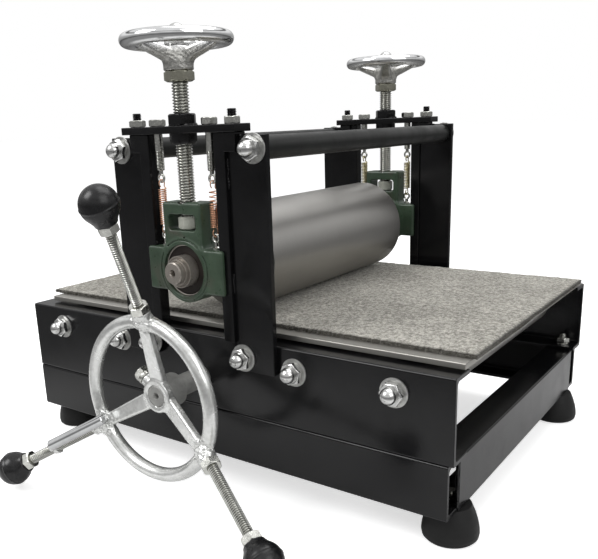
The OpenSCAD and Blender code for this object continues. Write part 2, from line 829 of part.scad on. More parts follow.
// One upright for the near side and the given hand: plate, guide bar and top lug
module upright(side, hand) {
    foot_z = z_rail - upright_foot;
    lug_z = z_bar - lug_h;
    on_side(side) mirror([hand > 0 ? 0 : 1, 0, 0]) difference() {
        union() {
            translate([guide_x + guide_w, -web_y - upright_t, foot_z])
                cube([upright_w, upright_t, z_top - foot_z]);
            translate([guide_x, -press_y - guide_t / 2, z_rail])
                cube([guide_w, guide_t, z_bar - z_rail]);
            translate([stud_x - lug_w / 2, -press_y - bar_d / 2, lug_z])
                cube([lug_w, bar_d, lug_h]);
        }
        translate([tie_x, cut - web_y, z_tie]) outwards()
            cylinder(r = rod_r + hole_fit, h = upright_t + 2 * cut);
        translate([upright_bolt_x, cut - web_y, z_rail - upright_bolt_drop]) outwards()
            cylinder(r = rod_r + hole_fit, h = upright_t + 2 * cut);
        translate([stud_x, -press_y, lug_z + wall]) cylinder(d = bolt_d, h = lug_h);
    }
}

module upright_near_left() { color([0.05, 0.05, 0.05]) upright(near, left); }
module upright_near_right() { color([0.05, 0.05, 0.05]) upright(near, right); }
module upright_far_left() { color([0.05, 0.05, 0.05]) upright(far, left); }
module upright_far_right() { color([0.05, 0.05, 0.05]) upright(far, right); }

module upright_bolts() {
    color([0.75, 0.75, 0.73])
    for (side = [near, far], sx = [left, right]) on_side(side)
        translate([sx * upright_bolt_x, wall - web_y, z_rail - upright_bolt_drop]) {
            mirror([0, 1, 0]) outwards() hex_nut(cap_af, bolt_h);
            outwards() cylinder(d = rod_d, h = wall + upright_t + stack_h + rod_grip);
        }
}

module tie_tubes() {
    color([0.1, 0.1, 0.1])
    for (sx = [left, right]) translate([sx * tie_x, frame_w / 2, z_tie]) outwards()
        tube(tie_tube_d, tie_tube_d - 2 * tie_tube_wall, frame_w);
}

module tie_rods() {
    l = frame_w + 2 * (upright_t + stack_h + rod_grip);
    color([0.7, 0.7, 0.68])
    for (sx = [left, right]) translate([sx * tie_x, l / 2, z_tie]) outwards() cylinder(d = rod_d, h = l);
}

// Calls its children at every cap nut's seat on the near side, its own Z outwards
module at_cap_nuts() {
    for (x = support_x) translate([x, -web_y, support_z]) outwards() children();
    for (sx = [left, right]) {
        translate([sx * upright_bolt_x, -web_y - upright_t, z_rail - upright_bolt_drop])
            outwards() children();
        translate([sx * tie_x, -web_y - upright_t, z_tie]) outwards() children();
    }
}

module washers() {
    color([0.74, 0.75, 0.73])
    for (side = [near, far]) on_side(side) at_cap_nuts() {
        tube(washer_d, rod_d, washer_t);
        translate([0, 0, washer_t]) tube(lock_washer_d, rod_d, lock_washer_t);
    }
}

// A domed nut on Z with a blind bore
module cap_nut(af, hex_h, dome_d, bore, depth) {
    difference() {
        union() {
            hex_nut(af, hex_h);
            cylinder(d = dome_d, h = hex_h + 2);
            translate([0, 0, hex_h + 2]) sphere(d = dome_d);
        }
        translate([0, 0, -cut]) cylinder(d = bore, h = depth + cut);
    }
}

module cap_nuts() {
    color([0.82, 0.82, 0.8])
    for (side = [near, far]) on_side(side) at_cap_nuts() translate([0, 0, stack_h])
        cap_nut(cap_af, cap_hex_h, cap_dome_d, rod_d, rod_grip + 1);
}

module crossbar(side) {
    on_side(side) difference() {
        translate([-bar_l / 2, -press_y - bar_d / 2, z_bar]) cube([bar_l, bar_d, bar_t]);
        translate([0, -press_y, z_bar - cut]) {
            cylinder(r = screw_d / 2 + slide_fit, h = bar_t + 2 * cut);
            for (sx = [left, right]) {
                translate([sx * stud_x, 0, 0]) cylinder(r = bolt_r + hole_fit, h = bar_t + 2 * cut);
                translate([sx * spring_x, 0, 0]) cylinder(r = bolt_r + hole_fit, h = bar_t + 2 * cut);
            }
        }
    }
}

module crossbar_near() { color([0.05, 0.05, 0.05]) crossbar(near); }
module crossbar_far() { color([0.05, 0.05, 0.05]) crossbar(far); }

// Studs from the uprights' lugs through the crossbars, with their nuts
module crossbar_stud_nuts() {
    stud_z = z_bar - lug_h + wall;
    color([0.76, 0.76, 0.72])
    for (sx = [left, right], sy = [near, far]) translate([sx * stud_x, sy * press_y, 0]) {
        translate([0, 0, stud_z]) cylinder(d = bolt_d, h = z_bar + bar_t + 2 * bolt_h - stud_z);
        translate([0, 0, z_bar + bar_t]) hex_nut(bolt_af, bolt_h, bolt_d);
    }
}

// The threaded nuts above and below each crossbar that the pressure screws run in
module crossbar_screw_nuts() {
    bore = screw_d + 2 * run_fit;
    color([0.06, 0.06, 0.06])
    for (sy = [near, far]) translate([0, sy * press_y, z_bar]) {
        translate([0, 0, bar_t]) hex_nut(screw_nut_af, screw_nut_h, bore);
        difference() {
            mirror([0, 0, 1]) intersection() {
                cylinder(d = screw_nut_af, h = screw_under_h);
                cylinder(d1 = screw_nut_af + screw_under_h, d2 = screw_nut_af - chamfer * 3, h = screw_under_h);
            }
            translate([0, 0, -screw_under_h - cut]) cylinder(d = bore, h = screw_under_h + 2 * cut);
        }
    }
}

// Springs and the eyes that hold them

// A wire ring in the plane of X and Z
module eye_ring() {
    rotate([90, 0, 0]) rotate_extrude() translate([eye_r, 0]) circle(d = eye_wire_d, $fn = 24);
}

module at_springs(y_sides = [near, far]) {
    for (sx = [left, right], sy = y_sides) translate([sx * spring_x, sy * press_y, 0]) children();
}

module spring_hangers() {
    shank_end = hanger_end + 2;
    color([0.72, 0.72, 0.7]) at_springs() {
        translate([0, 0, z_bar + bar_t]) hex_nut(bolt_af, bolt_h);
        translate([0, 0, shank_end]) cylinder(d = bolt_d, h = z_bar + bar_t - shank_end);
        translate([0, 0, hanger_end - eye_bar_r]) cylinder(d = bolt_d / 2, h = eye_bar_r + 3);
        translate([0, 0, z_eye_high]) eye_ring();
    }
}

module spring_eyes() {
    color([0.8, 0.8, 0.78]) at_springs() {
        translate([0, 0, z_shoulder]) {
            cylinder(d = bolt_d * 0.8, h = 2);
            cylinder(d = bolt_d / 2, h = eye_rise - eye_r);
        }
        translate([0, 0, z_eye_low]) eye_ring();
    }
}

curl_rings = 8;
loop_rings = 10;
wire_sides = 6;
loop_from = -240;
loop_to = 50;
full_turn = 360;

function unit(v) = v / norm(v);

// Points of an end loop in the plane of Y and Z, its centre at height z, from angle a to b
function loop_points(z, a, b) = [
    for (i = [0 : loop_rings]) let (t = a + (b - a) * i / loop_rings)
        [0, loop_r * cos(t), z + loop_r * sin(t)]
];

// The wire's route: lower loop, coil and upper loop, with the coil from Z = 0 to coil_l
spring_route = concat(
    loop_points(-loop_lift, loop_from, loop_to),
    [for (i = [0 : coil_turns * curl_rings]) let (t = 90 + full_turn * i / curl_rings)
        [coil_r * cos(t), coil_r * sin(t), coil_pitch * i / curl_rings]],
    loop_points(coil_l + loop_lift, -loop_to, -loop_from)
);

route_end = len(spring_route) - 1;
tangents = [
    for (i = [0 : route_end]) unit(spring_route[min(i + 1, route_end)] - spring_route[max(i - 1, 0)])
];
// A side direction at every point, carried along the wire without twist
sides = [
    for (i = 0, n = unit(cross(tangents[0], [1, 0, 0])); i <= route_end;
         i = i + 1, n = i <= route_end ? unit(n - (n * tangents[i]) * tangents[i]) : n) n
];

// A ring of points round the wire at point i of its route
function wire_ring(i) = [
    for (k = [0 : wire_sides - 1]) let (a = full_turn * k / wire_sides)
        spring_route[i] + wire_d / 2 * (cos(a) * sides[i] + sin(a) * cross(tangents[i], sides[i]))
];

// The number of point k in ring i
function ring_point(i, k) = i * wire_sides + k % wire_sides;

spring_faces = concat(
    [for (k = [1 : wire_sides - 2]) [0, k, k + 1]],
    [for (i = [0 : route_end - 1], k = [0 : wire_sides - 1])
        [ring_point(i, k), ring_point(i + 1, k), ring_point(i + 1, k + 1)]],
    [for (i = [0 : route_end - 1], k = [0 : wire_sides - 1])
        [ring_point(i, k), ring_point(i + 1, k + 1), ring_point(i, k + 1)]],
    [for (k = [1 : wire_sides - 2])
        [ring_point(route_end, 0), ring_point(route_end, k + 1), ring_point(route_end, k)]]
);

// Least gap between stretches of wire that are over half a turn apart
spring_gap = min([
    for (i = [0 : route_end]) for (j = [i + curl_rings / 2 + 1 : 1 : route_end])
        norm(spring_route[i] - spring_route[j])
]) - wire_d;
echo(least_gap_between_spring_turns = spring_gap);

module spring(sx, sy) {
    translate([sx * spring_x, sy * press_y, z_coil])
        polyhedron(points = [for (i = [0 : route_end]) each wire_ring(i)], faces = spring_faces);
}

module spring_near_left() { color([0.72, 0.45, 0.3]) spring(left, near); }
module spring_near_right() { color([0.72, 0.45, 0.3]) spring(right, near); }
module spring_far_left() { color([0.6, 0.55, 0.36]) spring(left, far); }
module spring_far_right() { color([0.6, 0.55, 0.36]) spring(right, far); }

// Take-up bearing castings

// Outline of a casting about its bearing's centre
module housing_outline() {
    difference() {
        union() {
            translate([-wing_w / 2, -wing_h / 2]) round_rect(wing_w, wing_h, housing_round);
            translate([-neck_w / 2, 0]) round_rect(neck_w, neck_top, housing_round);
            circle(r = housing_r);
            for (s = [0, 1]) mirror([s, 0]) translate([neck_w / 2, wing_h / 2])
                corner_waste(housing_round);
        }
        translate([-window_w / 2, window_z]) round_rect(window_w, window_h, housing_round / 2);
    }
}

module bearing_housing(side) {
    groove_x = guide_x - slide_fit;
    on_side(side) translate([0, -press_y, upper_z]) outwards() difference() {
        union() {
            translate([0, 0, -housing_t / 2]) linear_extrude(housing_t) housing_outline();
            translate([0, 0, -housing_t / 2 - boss_h]) cylinder(r = boss_r, h = housing_t + 2 * boss_h);
        }
        translate([0, 0, -housing_t]) cylinder(d = insert_d, h = 2 * housing_t);
        for (s = [0, 1]) mirror([s, 0, 0])
            translate([groove_x, -wing_h / 2 - cut, -guide_t / 2 - slide_fit])
                cube([wing_w, wing_h + 2 * cut, guide_t + 2 * slide_fit]);
        translate([0, window_z + window_h / 2, 0]) rotate([-90, 0, 0])
            cylinder(r = screw_d / 2 + slide_fit, h = neck_top);
    }
}

module bearing_housing_near() { color([0.22, 0.33, 0.24]) bearing_housing(near); }
module bearing_housing_far() { color([0.22, 0.33, 0.24]) bearing_housing(far); }

module upper_bearings() {
    color([0.2, 0.18, 0.17])
    for (side = [near, far]) on_side(side) translate([0, -press_y, upper_z]) outwards()
        bearing_outer(insert_d, insert_w, insert_inner_d, insert_ball_d);
}

module upper_inner_rings() {
    color([0.55, 0.52, 0.48])
    for (side = [near, far]) on_side(side) translate([0, -press_y, upper_z]) outwards()
        bearing_inner(insert_inner_d, insert_in, insert_out, ball_circle(insert_d, insert_inner_d),
                      insert_ball_d);
}

module upper_roller() { color([0.6, 0.6, 0.58]) roller(upper_d, upper_z); }

module upper_shaft() {
    end_y = press_y + insert_out + bolt_d;
    color([0.5, 0.48, 0.45]) roller_shaft(upper_z, end_y, end_y);
}

// Pressure screws and hand wheels

module pressure_screw(side) {
    foot_z = z_window + 2 * slide_fit;
    translate([0, side * press_y, 0]) {
        translate([0, 0, foot_z]) cylinder(d = screw_d, h = hub_top - bolt_h - foot_z);
        translate([0, 0, foot_z]) cylinder(d = top_stud_d, h = hub_top + top_nut_h - foot_z);
    }
}

module pressure_screw_near() { color([0.68, 0.68, 0.62]) pressure_screw(near); }
module pressure_screw_far() { color([0.68, 0.68, 0.62]) pressure_screw(far); }

// The nut in the casting's window, the jam nut and the domed nut of one screw
module screw_nuts(side) {
    translate([0, side * press_y, 0]) {
        translate([0, 0, z_window + slide_fit]) hex_nut(end_nut_af, end_nut_h, screw_d);
        translate([0, 0, jam_z]) hex_nut(screw_nut_af, jam_h, screw_d);
        translate([0, 0, hub_top])
            cap_nut(top_nut_af, top_nut_h, top_dome_d, top_stud_d, top_nut_h + chamfer);
    }
}

module screw_nuts_near() { color([0.7, 0.7, 0.66]) screw_nuts(near); }
module screw_nuts_far() { color([0.7, 0.7, 0.66]) screw_nuts(far); }

// Side view of a hand wheel's arm, from the hub out to the rim, about the hub's underside
module hand_arm_profile() {
    reach = hand_rim_r;
    waist = hand_hub_h - hand_rim_d / 2;
    crown = hand_hub_h - chamfer;
    polygon([
        [0, waist / 2], [hand_hub_d / 2 - 1, waist / 2],
        [reach - hand_rim_d / 4, hand_rim_z - hand_rim_d / 2.6],
        [reach, hand_rim_z + hand_rim_d / 4], [hand_hub_d / 2, crown], [0, crown]
    ]);
}

module handwheel(side, first_a) {
    translate([0, side * press_y, hub_z]) difference() {
        union() {
            cylinder(d = hand_hub_d, h = hand_hub_h / 2);
            translate([0, 0, hand_hub_h / 2])
                cylinder(d1 = hand_hub_d, d2 = hand_hub_d - hand_rim_d / 2, h = hand_hub_h / 2);
            translate([0, 0, hand_rim_z]) rotate_extrude($fn = 96)
                translate([hand_rim_r, 0]) circle(d = hand_rim_d);
            for (i = [0 : 2]) rotate([90, 0, first_a + 120 * i])
                translate([0, 0, -hand_arm_w / 2]) linear_extrude(hand_arm_w) hand_arm_profile();
        }
        translate([0, 0, -cut]) cylinder(d = screw_d, h = hand_hub_h - bolt_h + cut);
        cylinder(d = top_stud_d, h = hand_hub_h + cut);
    }
}

module handwheel_near() { color([0.85, 0.85, 0.85]) handwheel(near, near_arm_a); }
module handwheel_far() { color([0.85, 0.85, 0.85]) handwheel(far, far_arm_a); }

rubber_feet();
foot_bolts();
base_rail_near();
base_rail_far();
base_crossmembers();
rail_bolts();
side_rail_near();
side_rail_far();
support_axles();
support_roller_1();
support_roller_2();
support_roller_3();
support_roller_4();
lower_bearing_cups();
lower_bearings();
lower_inner_rings();
lower_roller();
drive_shaft();
shaft_collar();
drive_wheel();
wheel_set_bolt();
arm_rods();
arm_nuts();
arm_knobs();
side_pin();
side_pin_lugs();
bed_plate();
felt_blanket();
upright_near_left();
upright_near_right();
upright_far_left();
upright_far_right();
upright_bolts();
tie_tubes();
tie_rods();
washers();
cap_nuts();
crossbar_near();
crossbar_far();
crossbar_stud_nuts();
crossbar_screw_nuts();
spring_hangers();
spring_near_left();
spring_near_right();
spring_far_left();
spring_far_right();
bearing_housing_near();
bearing_housing_far();
upper_bearings();
spring_eyes();
upper_inner_rings();
upper_roller();
upper_shaft();
pressure_screw_near();
pressure_screw_far();
screw_nuts_near();
screw_nuts_far();
handwheel_near();
handwheel_far();
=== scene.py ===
"""Bench etching press: the looks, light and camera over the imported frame.

The press's sizes are in millimetres, as in the part's source, and turned to metres when a
mesh is made. The studio and the finishes are in metres.
X is the bed's travel, -Y the side of the drive wheel, Z up, with the bench at Z = 0.
"""
import logging
import math
from dataclasses import dataclass
from enum import Enum
from typing import Callable, Iterable, Sequence

import bpy
import numpy as np
from mathutils import Matrix, Vector


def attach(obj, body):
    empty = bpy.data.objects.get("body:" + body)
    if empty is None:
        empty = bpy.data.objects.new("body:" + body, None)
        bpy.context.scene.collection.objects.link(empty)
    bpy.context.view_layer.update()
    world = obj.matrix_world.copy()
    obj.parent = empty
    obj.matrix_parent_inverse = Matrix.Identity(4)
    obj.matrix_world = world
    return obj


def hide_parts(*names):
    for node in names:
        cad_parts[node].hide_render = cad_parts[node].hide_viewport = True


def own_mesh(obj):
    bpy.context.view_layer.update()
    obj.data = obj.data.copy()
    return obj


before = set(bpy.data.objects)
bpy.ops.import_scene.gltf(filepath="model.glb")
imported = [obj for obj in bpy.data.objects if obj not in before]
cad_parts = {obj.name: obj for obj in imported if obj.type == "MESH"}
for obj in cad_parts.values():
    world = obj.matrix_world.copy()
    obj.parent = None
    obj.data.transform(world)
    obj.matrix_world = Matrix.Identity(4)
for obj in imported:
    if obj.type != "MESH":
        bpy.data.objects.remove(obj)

LOG = logging.getLogger("press")
Array = np.ndarray
Pair = tuple[float, float]
Point = tuple[float, float, float]
Colour = tuple[float, float, float]
Socket = bpy.types.NodeSocket
Sockets = dict[str | int, object]
MM = 0.001
FINE_ANGLE = math.radians(32)
CAST_ANGLE = math.radians(60)


class Side(Enum):
    """The two sides of the press across the bed."""

    NEAR = -1
    FAR = 1


class Hand(Enum):
    """The two ends of the press along the bed."""

    LEFT = -1
    RIGHT = 1


@dataclass(frozen=True)
class Sizes:
    """Places that several sub-assemblies share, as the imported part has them."""

    web_y: float = 183.0
    press_y: float = 187.0
    plate_y: float = 189.0
    base_z: float = 30.5
    rail_foot: float = 78.5
    rail_top: float = 151.5
    bed_z: float = 153.5
    felt_z: float = 158.5
    upper_z: float = 213.6
    lower_z: float = 108.75
    support_z: float = 131.2
    tie_z: float = 319.5
    plate_top: float = 330.5
    bar_z: float = 333.0
    bar_top: float = 339.5
    half_length: float = 252.5
    spring_x: float = 30.5
    tie_x: float = 77.5
    axle_x: tuple[float, ...] = (-202.0, -107.0, 107.0, 202.0)


SIZE = Sizes()


# Surfaces


def unit(v: Array) -> Array:
    """The vectors of v at length one."""
    return v / np.maximum(np.linalg.norm(v, axis=-1, keepdims=True), 1e-12)


def waves(p: Array, length: float, seed: int, count: int = 9) -> Array:
    """A smooth field between about -1 and 1: the mean of sines along random directions.

    Args:
        p: the points, in any number of dimensions.
        length: wavelength of the longest sine; the shortest is a third of it.
        seed: picks the directions and phases.
        count: number of sines.

    Returns:
        The field at each point.
    """
    rng = np.random.default_rng(seed)
    ways = unit(rng.normal(size=(count, p.shape[-1])))
    scale = 2 * np.pi / length * rng.uniform(1, 3, count)
    phase = rng.uniform(0, 2 * np.pi, count)
    return np.sin((p @ ways.T) * scale + phase).sum(-1) / math.sqrt(count)


def quads_of(rows: int, columns: int, wrap_rows: bool, wrap_columns: bool) -> Array:
    """Faces of a grid of points, row by row.

    Args:
        rows: number of rows of points.
        columns: number of points in a row.
        wrap_rows: the last row joins the first.
        wrap_columns: each row is a closed ring.

    Returns:
        An array of (faces, 4) point numbers.
    """
    i, j = np.meshgrid(
        np.arange(rows if wrap_rows else rows - 1),
        np.arange(columns if wrap_columns else columns - 1),
        indexing="ij",
    )
    i2, j2 = (i + 1) % rows, (j + 1) % columns
    return np.stack(
        [i * columns + j, i2 * columns + j, i2 * columns + j2, i * columns + j2], -1
    ).reshape(-1, 4)


def volume_of(points: Array, faces: Iterable[Array]) -> float:
    """Signed volume inside faces: the sum of a . (b x c) / 6 over each face's fan triangles.

    Args:
        points: the points, (n, 3).
        faces: arrays of (faces, corners) point numbers.

    Returns:
        The volume, positive where the faces point outwards.
    """
    total = 0.0
    for f in faces:
        for k in range(1, f.shape[1] - 1):
            a, b, c = points[f[:, 0]], points[f[:, k]], points[f[:, k + 1]]
            total += float(np.einsum("ij,ij->", a, np.cross(b, c))) / 6
    return total


class Skin:
    """Closed surfaces in millimetres, gathered to make one mesh."""

    def __init__(self) -> None:
        """Starts with no surface."""
        self.points: list[Array] = []
        self.faces: list[Array] = []
        self.darkening: list[Array] = []
        self.count = 0

    def add(self, points: Array, *faces: Array, darkening: float | Array = 0.0) -> "Skin":
        """Adds one closed surface and turns its faces outwards.

        Args:
            points: its points, (n, 3) or a grid of them.
            faces: arrays of (faces, corners) point numbers.
            darkening: how much darker each point is painted, 0 to 1; in a thread's root this is
                painted shade.

        Returns:
            The skin itself.
        """
        shade = np.broadcast_to(np.asarray(darkening, float), points.shape[:-1]).reshape(-1)
        points = points.reshape(-1, 3).astype(float)
        outward = volume_of(points - points.mean(0), faces) > 0
        for f in faces:
            self.faces.append((f if outward else f[:, ::-1]) + self.count)
        self.points.append(points)
        self.darkening.append(shade)
        self.count += len(points)
        return self

    def loft(self, rings: Array, closed: bool = False, darkening: float | Array = 0.0) -> "Skin":
        """Adds a surface through rings of points, capped flat at its ends unless it is closed.

        Args:
            rings: a grid of points, one row a ring.
            closed: the last ring joins the first.
            darkening: how much darker each point is painted.

        Returns:
            The skin itself.
        """
        rows, columns = rings.shape[:2]
        faces = [quads_of(rows, columns, closed, True)]
        if not closed:
            faces.append(np.arange(columns)[None, ::-1])
            faces.append((rows - 1) * columns + np.arange(columns)[None, :])
        return self.add(rings, *faces, darkening=darkening)

    def mesh(self, name: str) -> bpy.types.Mesh:
        """The mesh of all its surfaces, in metres, with the painted darkening as a point attribute.

        Args:
            name: the mesh's name.

        Returns:
            The mesh.
        """
        mesh = bpy.data.meshes.new(name)
        points = np.concatenate(self.points) * MM
        sizes = np.concatenate([np.full(len(f), f.shape[1]) for f in self.faces])
        corners = np.concatenate([f.ravel() for f in self.faces])
        mesh.vertices.add(len(points))
        mesh.vertices.foreach_set("co", points.astype(np.float32).ravel())
        mesh.loops.add(len(corners))
        mesh.loops.foreach_set("vertex_index", corners.astype(np.int32))
        mesh.polygons.add(len(sizes))
        mesh.polygons.foreach_set("loop_start", (np.cumsum(sizes) - sizes).astype(np.int32))
        mesh.update(calc_edges=True)
        shade = mesh.attributes.new("darkening", "FLOAT", "POINT")
        shade.data.foreach_set("value", np.concatenate(self.darkening).astype(np.float32))
        mesh.validate()
        return mesh


@dataclass(frozen=True)
class Axis:
    """A place and the three directions of a local frame there, Z being the axis."""

    at: Point
    z: Point = (0, 0, 1)
    x: Point = (1, 0, 0)

    def put(self, local: Array) -> Array:
        """Local points in the press's frame.

        Args:
            local: points, with Z along the axis.

        Returns:
            The same points in the press's frame.
        """
        z = unit(np.array(self.z, float))
        x = unit(np.array(self.x, float) - z * np.dot(self.x, z))
        return local @ np.array([x, np.cross(z, x), z]) + np.array(self.at, float)

    def along(self, distance: float) -> "Axis":
        """The same frame, moved along its axis."""
        z = unit(np.array(self.z, float))
        return Axis(tuple(np.array(self.at, float) + z * distance), self.z, self.x)


def outwards(side: Side, x: float, y: float, z: float) -> Axis:
    """An axis at y from the middle that points away from the bed on one side."""
    return Axis((x, side.value * y, z), (0, side.value, 0))


def rounded(corners: Sequence[tuple[float, float]], radii: float | Sequence[float],
            steps: int = 3) -> Array:
    """Outline of a polygon whose corners give way to arcs that touch both their sides.

    Args:
        corners: the polygon's corners.
        radii: one radius, or one for each corner.
        steps: parts of each arc.

    Returns:
        The outline's points.
    """
    p = np.array(corners, float)
    r = np.broadcast_to(np.array(radii, float), (len(p),))
    back, on = unit(np.roll(p, 1, 0) - p), unit(np.roll(p, -1, 0) - p)
    half = np.arccos(np.clip((back * on).sum(-1), -1, 1)) / 2
    middle = p + unit(back + on) * (r / np.sin(half))[:, None]
    reach = (r / np.tan(half))[:, None]
    first, last = p + back * reach - middle, p + on * reach - middle
    k = np.linspace(0, 1, steps + 1)[None, :, None]
    turn = (np.pi - 2 * half)[:, None, None]
    arc = np.sin((1 - k) * turn) * first[:, None] + np.sin(k * turn) * last[:, None]
    return (middle[:, None] + arc / np.sin(turn)).reshape(-1, 2)


def shrunk(outline: Array, by: float) -> Array:
    """An outline moved inwards along its points' normals.

    Args:
        outline: the outline's points.
        by: how far its edges move.

    Returns:
        The moved points.
    """
    x, y = outline[:, 0], outline[:, 1]
    turn = np.sign((x * np.roll(y, -1) - np.roll(x, -1) * y).sum())
    edge = unit(np.roll(outline, -1, 0) - outline)
    normal = turn * np.stack([-edge[:, 1], edge[:, 0]], -1)
    mean = unit(normal + np.roll(normal, 1, 0))
    return outline + by * mean / np.maximum((mean * normal).sum(-1, keepdims=True), 0.5)


def prism(axis: Axis, outline: Array, length: float, bevel: float = 0.4) -> Array:
    """Rings of a straight bar of any outline, with bevelled ends.

    Args:
        axis: its axis, from one end.
        outline: the bar's section.
        length: its length.
        bevel: of its ends.

    Returns:
        A grid of points, one row a ring.
    """
    inner = shrunk(outline, bevel)
    levels = ((inner, 0), (outline, bevel), (outline, length - bevel), (inner, length))
    return axis.put(np.stack([np.column_stack([o, np.full(len(o), h)]) for o, h in levels]))


def slab(low: Sequence[float], high: Sequence[float], edge: float, steps: int = 3) -> Array:
    """Rings of a box with rounded edges.

    Each point is a corner of the core box, which is smaller by the edge's radius all round, plus
    the radius times (cos b cos a, cos b sin a, sin b), a going round and b from bottom to top.

    Args:
        low: its lowest corner.
        high: its highest corner.
        edge: radius of its edges.
        steps: parts of each rounding.

    Returns:
        A grid of points, one row a ring.
    """
    low, high = np.array(low, float), np.array(high, float)
    core = (high - low) / 2 - edge
    a = (np.pi / 2 * np.arange(4)[:, None] + np.linspace(0, np.pi / 2, steps + 1)[None, :]).ravel()
    sx, sy = np.repeat([1, -1, -1, 1], steps + 1), np.repeat([1, 1, -1, -1], steps + 1)
    b = np.linspace(0.2, np.pi / 2, steps + 1)
    b = np.concatenate([-b[::-1], b - 0.2])[:, None]
    sz = np.repeat([-1, 1], steps + 1)[:, None]
    return (low + high) / 2 + np.stack([
        core[0] * sx + edge * np.cos(b) * np.cos(a),
        core[1] * sy + edge * np.cos(b) * np.sin(a),
        core[2] * sz + edge * np.sin(b) + 0 * a,
    ], -1)


def turned(axis: Axis, profile: Sequence[tuple[float, float]] | Array, columns: int = 48) -> Array:
    """Rings of a turned shape: a profile point (r, h) sweeps the circle (r cos t, r sin t, h).

    Args:
        axis: its axis.
        profile: radius and height of each ring.
        columns: points in a ring.

    Returns:
        A grid of points, one row a ring.
    """
    t = np.linspace(0, 2 * np.pi, columns, endpoint=False)
    r, h = np.array(profile, float).T[..., None]
    return axis.put(np.stack([r * np.cos(t), r * np.sin(t), h + 0 * t], -1))


def collar(axis: Axis, bore: float, outer: float, low: float, high: float, edge: float = 0.4,
           columns: int = 48) -> Array:
    """Closed rings of a tube or washer: a rounded rectangle turned about the axis."""
    corners = [(bore / 2, low), (outer / 2, low), (outer / 2, high), (bore / 2, high)]
    return turned(axis, rounded(corners, edge, 2), columns)


def hexagon(axis: Axis, flats: float, levels: Sequence[tuple[float, float]],
            side: int = 8) -> Array:
    """Rings of a hexagonal shape with turned ends.

    Each radius is the smaller of two: half the flats over the cosine of the angle from the nearest
    flat, and the turned profile's at that height. This draws the arcs of a nut's chamfer.

    Args:
        axis: its axis, with X through a corner.
        flats: the distance across flats.
        levels: turned radius and height of each ring.
        side: points on each flat.

    Returns:
        A grid of points, one row a ring.
    """
    t = np.linspace(0, 2 * np.pi, 6 * side, endpoint=False)
    flat = flats / 2 / np.cos(t % (np.pi / 3) - np.pi / 6)
    turn, h = np.array(levels, float).T[..., None]
    r = np.minimum(flat, turn)
    return axis.put(np.stack([r * np.cos(t), r * np.sin(t), h + 0 * r], -1))


def nut(axis: Axis, flats: float, height: float, both: bool = True) -> Array:
    """Rings of a nut or bolt head, with 30 degree chamfers that start inside its flats.

    Args:
        axis: its axis.
        flats: the width across flats.
        height: its height.
        both: chamfered at both ends, not only on top.

    Returns:
        A grid of points, one row a ring.
    """
    inner, outer = flats / 2 * 0.95, flats / 2 / math.cos(math.pi / 6)
    rise = (outer - inner) * math.tan(math.radians(30))
    top = [(inner + (outer - inner) * k, height - rise * k) for k in np.linspace(0, 1, 5)]
    foot = [(r, height - h) for r, h in top] if both else [(outer, 0.0)]
    return hexagon(axis, flats, foot + top[::-1])


def dome(axis: Axis, height: float, radius: float) -> Array:
    """Rings of a cap nut's dome over its hexagon's height: a neck, then (r cos b, r sin b).

    Args:
        axis: from the hexagon's foot.
        height: the hexagon's.
        radius: the dome's.

    Returns:
        A grid of points, one row a ring.
    """
    b = np.linspace(0, np.pi / 2, 12)
    crown = np.stack([np.maximum(radius * np.cos(b), 0.03), height + 2 + radius * np.sin(b)], -1)
    return turned(axis, np.vstack([[radius, height - 0.5], crown]), 40)


def frames_along(path: Array) -> tuple[Array, Array]:
    """Two directions across a path at each point, carried along it without twist.

    Args:
        path: its points.

    Returns:
        Both directions at each point.
    """
    nxt = np.vstack([path[1:], 2 * path[-1] - path[-2]])
    prv = np.vstack([2 * path[0] - path[1], path[:-1]])
    t = unit(nxt - prv)
    guess = np.array([0.0, 0.0, 1.0]) if abs(t[0, 2]) < 0.9 else np.array([1.0, 0.0, 0.0])
    across = np.empty_like(t)
    across[0] = unit(np.cross(t[0], guess))
    for k in range(1, len(t)):
        across[k] = unit(across[k - 1] - t[k] * np.dot(across[k - 1], t[k]))
    return across, np.cross(t, across)


def wire(path: Array, radius: float | Array, columns: int = 10) -> Array:
    """Rings of a round wire: the path's point plus r cos t across it and r sin t across both.

    Args:
        path: its points.
        radius: one, or one for each point.
        columns: points round it.

    Returns:
        A grid of points, one row a ring.
    """
    a, b = frames_along(path)
    t = np.linspace(0, 2 * np.pi, columns, endpoint=False)[None, :, None]
    r = np.broadcast_to(np.asarray(radius, float), (len(path),))[:, None, None]
    return path[:, None, :] + r * (a[:, None, :] * np.cos(t) + b[:, None, :] * np.sin(t))


def weld(a: Sequence[float], b: Sequence[float], radius: float, seed: int,
         ripple: float = 2.6) -> Array:
    """Rings of a weld bead: it swells with each ripple, its line wanders and its ends close.

    Args:
        a: where it starts.
        b: where it ends.
        radius: its mean radius.
        seed: picks the way it wanders.
        ripple: distance from one ripple to the next.

    Returns:
        A grid of points, one row a ring.
    """
    a, b = np.array(a, float), np.array(b, float)
    length = float(np.linalg.norm(b - a))
    s = np.linspace(0, length, max(int(length / ripple * 6), 8))[:, None]
    path = a + (b - a) * s / length
    path = path + 0.16 * radius * np.stack([waves(s, 24, seed + k) for k in range(3)], -1)
    close = np.sqrt(np.clip(np.minimum(s, length - s)[:, 0] / radius, 0.003, 1))
    swell = 1 + 0.1 * np.sin(2 * np.pi * s[:, 0] / ripple) + 0.08 * waves(s, 17, seed + 5)
    return wire(path, radius * close * swell, 10)


